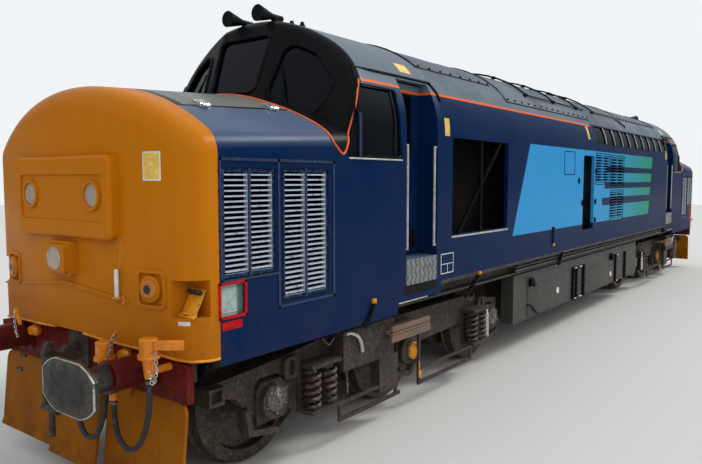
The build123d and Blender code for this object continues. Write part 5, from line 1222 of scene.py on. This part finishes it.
def roof_trim(skin):
    """Joint strips with bolts, lifting rods with clamps, and small fittings on the cab roofs."""
    strips = Shape()
    for x, reach in ((5.385, 1.02), (3.4, 1.19), (-2.3, 1.19), (-5.385, 1.02)):
        strips.tube([skin.top(x, y, 0.003) for y in stepped(-reach, reach, 17)], 0.012)
    for side in (1, -1):
        for x0, x1, y in ((5.385, 3.56, 1.02), (3.4, 0.02, 1.195), (-2.3, -5.385, 1.02)):
            strips.tube([skin.top(x, side * y, 0.003) for x in stepped(x0, x1, 5)], 0.008)
            for x in stepped(x0 - math.copysign(0.1, x0 - x1), x1, max(3, int(abs(x0 - x1) / 0.22))):
                axis = skin.top(x, side * y, 1.0) - skin.top(x, side * y)
                strips.bolt(skin.top(x, side * (y - 0.03)), axis, 0.015, 0.016)
    strips.done("roof_strips", "trim_black", sides=False, ends=False)
    rods = Shape()
    rod_y = 1.045
    along = Vector((0.035, 0, 0))
    for x in (2.45, 1.35, 0.26, -0.59):
        rods.tube([skin.top(x, y, 0.03) for y in stepped(-rod_y, rod_y, 15)], 0.013)
        for y in (-rod_y, -0.55, 0.55, rod_y):
            place = skin.top(x, y, 0.022)
            rods.beam(place - along, place + along, 0.05, 0.04, rounded=0.008)
    for y in (rod_y, -rod_y):
        for x0, x1 in ((2.45, -0.1), (-0.59, -1.83)):
            rods.tube([skin.top(x, y, 0.024) for x in stepped(x0, x1, 5)], 0.011)
        rods.tube([skin.top(-1.83, y, 0.024), skin.top(-2.27, math.copysign(1.18, y), 0.02)], 0.011)
    rods.done("roof_rods", "trim_black", sides=False, ends=False)
    pods = Shape()
    for x, y in ((6.5, 0.24), (6.46, 0.345)):
        pods.lathe([(-0.01, 0.034), (0.014, 0.032), (0.034, 0.022), (0.052, 0.018), (0.058, 0)],
                   skin.top(x, y), UP, 16)
    lead = ((6.5, 0.24), (6.47, 0.27), (6.45, 0.31), (6.46, 0.345))
    pods.tube(smooth([skin.top(x, y, 0.01) for x, y in lead]), 0.007)
    pods.done("roof_pods", "trim_black", sides=False)


def tank_trim():
    """Panels, frames, straps, gauges and fillers of the tanks."""
    panels = Shape()
    for x0, x1 in ((0.93, 2.7), (-1.56, 0.19)):
        panels.box(x0, x1, TANK_Y, TANK_PANEL_Y, 0.44, 0.9, 0.004)
        for x in stepped(x0 + 0.05, x1 - 0.05, 7):
            for z in (0.47, 0.87):
                panels.bolt((x, TANK_PANEL_Y, z), LEFT, 0.01, 0.008)
    panels.done("tank_panels", "tank_grey", ends=False)
    frames = Shape()
    for x in (0.8, 0.64, 0.27, -1.64, -2.3):
        frames.box(x - 0.032, x + 0.032, TANK_Y, TANK_FRAME_Y, 0.425, 0.96, 0.006)
        for z in (0.47, 0.69, 0.91):
            frames.bolt((x, TANK_FRAME_Y, z), LEFT, 0.014, 0.01)
    for x in (2.594, -1.35):
        frames.lathe([(-0.01, 0.06), (0.03, 0.06), (0.035, 0.072), (0.055, 0.072), (0.06, 0.06)],
                     (x, 1.25, 0.93), (0, 1, 0.3), 20)
    pipe = ((2.72, 1.262, 0.62), (2.6, 1.275, 0.6), (2.4, 1.272, 0.47), (2.3, 1.262, 0.45))
    frames.tube(smooth(pipe), 0.011)
    frames.done("tank_frames", "trim_black", ends=False)
    marks = Shape()
    for x, z in ((1.519, 0.678), (-1.321, 0.612)):
        marks.lathe([(-0.004, 0.048), (0.014, 0.048), (0.018, 0.042), (0.01, 0.038)],
                    (x, TANK_PANEL_Y, z), LEFT, 20)
    for x in (0.72, 0.45, -1.7):
        for z in (0.44, 0.945):
            marks.box(x - 0.04, x + 0.04, 1.262, 1.29, z - 0.007, z + 0.007, 0.003)
    marks.tube(((2.56, 1.272, 0.915), (2.6, 1.28, 0.872)), 0.009)
    marks.done("tank_gauges", "plate_white", ends=False)


# Bogies

SPRING_RADIUS = 0.066
SPRING_WIRE = 0.019
SPRING_TURNS = 5.2
SPRING_STEPS = 84


def coil_springs(end, name):
    """Coil springs that stand for the turned ones of one bogie."""
    low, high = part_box(f"bogie_{name}_springs")
    bottom = low.z - RAIL
    height = high.z - low.z
    shape = Shape()
    y = 1.17
    for offset in (-1.626, -1.406, 1.406, 1.626):
        x = BOGIE_X + offset
        points = []
        for step in range(SPRING_STEPS + 1):
            share = step / SPRING_STEPS
            angle = math.tau * SPRING_TURNS * share
            rise = SPRING_WIRE + (height - 2 * SPRING_WIRE) * share
            across = SPRING_RADIUS * math.cos(angle)
            points.append((x + across, y + SPRING_RADIUS * math.sin(angle), bottom + rise))
        shape.tube(points, SPRING_WIRE)
        shape.lathe([(0, 0.055), (0.012, 0.055), (0.02, 0.04)], (x, y, bottom), UP, 16)
    body = f"bogie_{name}"
    piece = shape.done(f"coil_springs_{name}", "spring_steel", body, ends=False, end=end)
    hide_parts(f"bogie_{name}_springs")


def bogie_trim(end, name):
    """Plank step, probe covers, pipes, wires and axle covers on one bogie."""
    body = f"bogie_{name}"
    planks = Shape()
    for row in range(4):
        y = 1.07 + 0.07 * row
        planks.box(5.56 + 0.006 * (row % 2), 6.28 - 0.01 * (row % 3), y, y + 0.064, 0.872, 0.898, 0.005)
    planks.box(5.555, 6.29, 1.318, 1.344, 0.8, 0.868, 0.005)
    planks.box(5.565, 6.284, 1.322, 1.346, 0.905, 0.96, 0.005)
    planks.done(f"step_planks_{name}", "worn_planks", body, ends=False, end=end)
    caps = Shape()
    caps.lathe([(-0.004, 0.094), (0.022, 0.094), (0.034, 0.08), (0.052, 0.05), (0.06, 0.02)],
               (5.6, 1.15, 0.56), LEFT)
    caps.box(5.545, 5.6, 1.15, 1.186, 0.47, 0.54, 0.008)
    lead = ((5.58, 1.196, 0.5), (5.59, 1.222, 0.44), (5.585, 1.226, 0.38), (5.58, 1.222, 0.34))
    caps.tube(smooth(lead), 0.01)
    caps.box(5.56, 5.602, 1.206, 1.24, 0.27, 0.345, 0.01)
    caps.done(f"axle_probes_{name}", "fitting_yellow", body, ends=False, end=end)
    bright = Shape()
    bright.tube(smooth(((6.925, 1.256, 1.0), (6.86, 1.262, 1.0), (6.76, 1.264, 0.955), (6.7, 1.262, 0.88),
                        (6.672, 1.258, 0.79))), 0.02, 12)
    bright.lathe([(0, 0.03), (0.3, 0.03), (0.305, 0.018), (0.4, 0.018)], (3.905, 1.205, 0.4), UP, 16)
    bright.done(f"bright_pipes_{name}", "bright_catch", body, ends=False, end=end)
    wires = Shape()
    for dx in (-0.012, 0.012):
        wires.tube(((6.849 + dx, 1.215, 0.66), (6.849, 1.216, 0.52), (6.849, 1.216, 0.36)), 0.0035, 6)
    wires.lathe([(0, 0.008), (0.01, 0.012), (0.08, 0.012), (0.09, 0.008)], (6.849, 1.216, 0.43), UP, 10)
    for x in (7.05, 4.25):
        lead = ((x, 1.085, 0.96), (x - 0.05, 1.12, 0.9), (x - 0.12, 1.13, 0.96), (x - 0.2, 1.085, 0.985))
        wires.tube(smooth(lead), 0.009)
    wires.tube([(x, 1.075, 0.985) for x in (7.3, 6.2)], 0.014)
    wires.done(f"brake_wires_{name}", "worn_steel", body, ends=False, end=end)
    covers = Shape()
    y = 1.15
    for x in (BOGIE_X - AXLE_PITCH, BOGIE_X + AXLE_PITCH):
        covers.lathe([(-0.002, 0.112), (0.01, 0.108), (0.016, 0.06), (0.022, 0.02)], (x, y, AXLE_Z), LEFT, 28)
        for step in range(6):
            angle = math.tau * (step + 0.5) / 6
            place = (x + 0.128 * math.cos(angle), y, AXLE_Z + 0.128 * math.sin(angle))
            covers.bolt(place, LEFT, 0.012, 0.012)
    covers.done(f"axle_covers_{name}", "speckled_steel", body, ends=False, end=end)


# Seats

# Furthest that stuffing moves a pad's skin
PAD_SWELL = 0.016


def evaluated(item):
    """New mesh of an object with its modifiers applied."""
    return bpy.data.meshes.new_from_object(item.evaluated_get(bpy.context.evaluated_depsgraph_get()))


def stuffed(low, high):
    """Mesh of a pad between two corners, swollen by a cloth simulation and held near its form."""
    shape = Shape()
    shape.box(low[0], high[0], low[1], high[1], low[2], high[2], 0.03)
    data = bpy.data.meshes.new("pad")
    shape.mesh.to_mesh(data)
    shape.mesh.free()
    pad = in_scene("pad", data)
    grid = pad.modifiers.new("grid", "REMESH")
    grid.mode = "VOXEL"
    grid.voxel_size = 0.011
    rest = evaluated(pad)
    pad.modifiers.clear()
    pad.data = rest
    start = [vertex.co.copy() for vertex in rest.vertices]
    cloth = pad.modifiers.new("cloth", "CLOTH")
    cloth.settings.use_pressure = True
    cloth.settings.uniform_pressure_force = 4.0
    cloth.settings.effector_weights.gravity = 0.0
    for step in range(1, 16):
        bpy.context.scene.frame_set(step)
    swollen = evaluated(pad)
    pad.modifiers.clear()
    pad.data = swollen
    bpy.context.scene.frame_set(1)
    for vertex, place in zip(pad.data.vertices, start):
        move = vertex.co - place
        if move.length > PAD_SWELL:
            vertex.co = place + move.normalized() * PAD_SWELL
    made = pad.data
    bpy.data.objects.remove(pad)
    return made


def channels(data, axis, across):
    """Sewn channels pressed into a pad, lines at the given places along an axis."""
    for vertex in data.vertices:
        press = sum(math.exp(-((vertex.co[axis] - place) / 0.008) ** 2) for place in across)
        vertex.co -= vertex.normal * (press * 0.006)


def seats():
    """Four driver's seats: padded cushion and back on a pedestal with a frame."""
    cushion = stuffed((6.182, 0.562, 2.04), (6.558, 0.958, 2.118))
    channels(cushion, 1, (0.672, 0.76, 0.848))
    back = stuffed((6.178, 0.572, 2.13), (6.238, 0.948, 2.64))
    channels(back, 2, (2.29, 2.4, 2.51))
    replaced = False
    for where, end in ENDS:
        for hand, side in (("left", 1), ("right", -1)):
            for part, data in (("cushion", cushion), ("back", back)):
                mesh = data.copy()
                mesh.transform(Matrix.Translation(RAISED) @ Matrix.Diagonal((end, end * side, 1, 1)))
                if side < 0:
                    mesh.flip_normals()
                mesh.materials.clear()
                mesh.materials.append(finishes["seat_cloth"])
                mesh.polygons.foreach_set("use_smooth", [True] * len(mesh.polygons))
                piece = in_scene(f"seat_{part}_{where}_{hand}", mesh)
                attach(piece, "body")
                if not replaced:
                    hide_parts("cab_seats")
                    replaced = True
    frames = Shape()
    frames.lathe([(0, 0.11), (0.012, 0.11), (0.03, 0.05), (0.3, 0.042), (0.31, 0.055), (0.44, 0.05)],
                 (6.37, 0.76, 1.562), UP, 20)
    frames.box(6.19, 6.55, 0.575, 0.945, 2.004, 2.03, 0.008)
    frames.box(6.162, 6.176, 0.6, 0.92, 2.02, 2.6, 0.005)
    frames.done("seat_frames", "trim_black")


def main():
    make_materials()
    make_stage()
    finish_cad()
    hoses()
    upper = Skin("cab_front", "cab_rear", "roof", "cantrails", "body_side_left", "body_side_right")
    window_trim(Skin("cab_front"))
    door_trim()
    gutters(upper)
    stripe_beads(Skin("cab_front", "nose_front"))
    nose_trim(Skin("nose_front"))
    beam_trim()
    side_trim(upper)
    roof_trim(upper)
    tank_trim()
    for name, end in ENDS:
        coil_springs(end, name)
        bogie_trim(end, name)
    seats()


main()
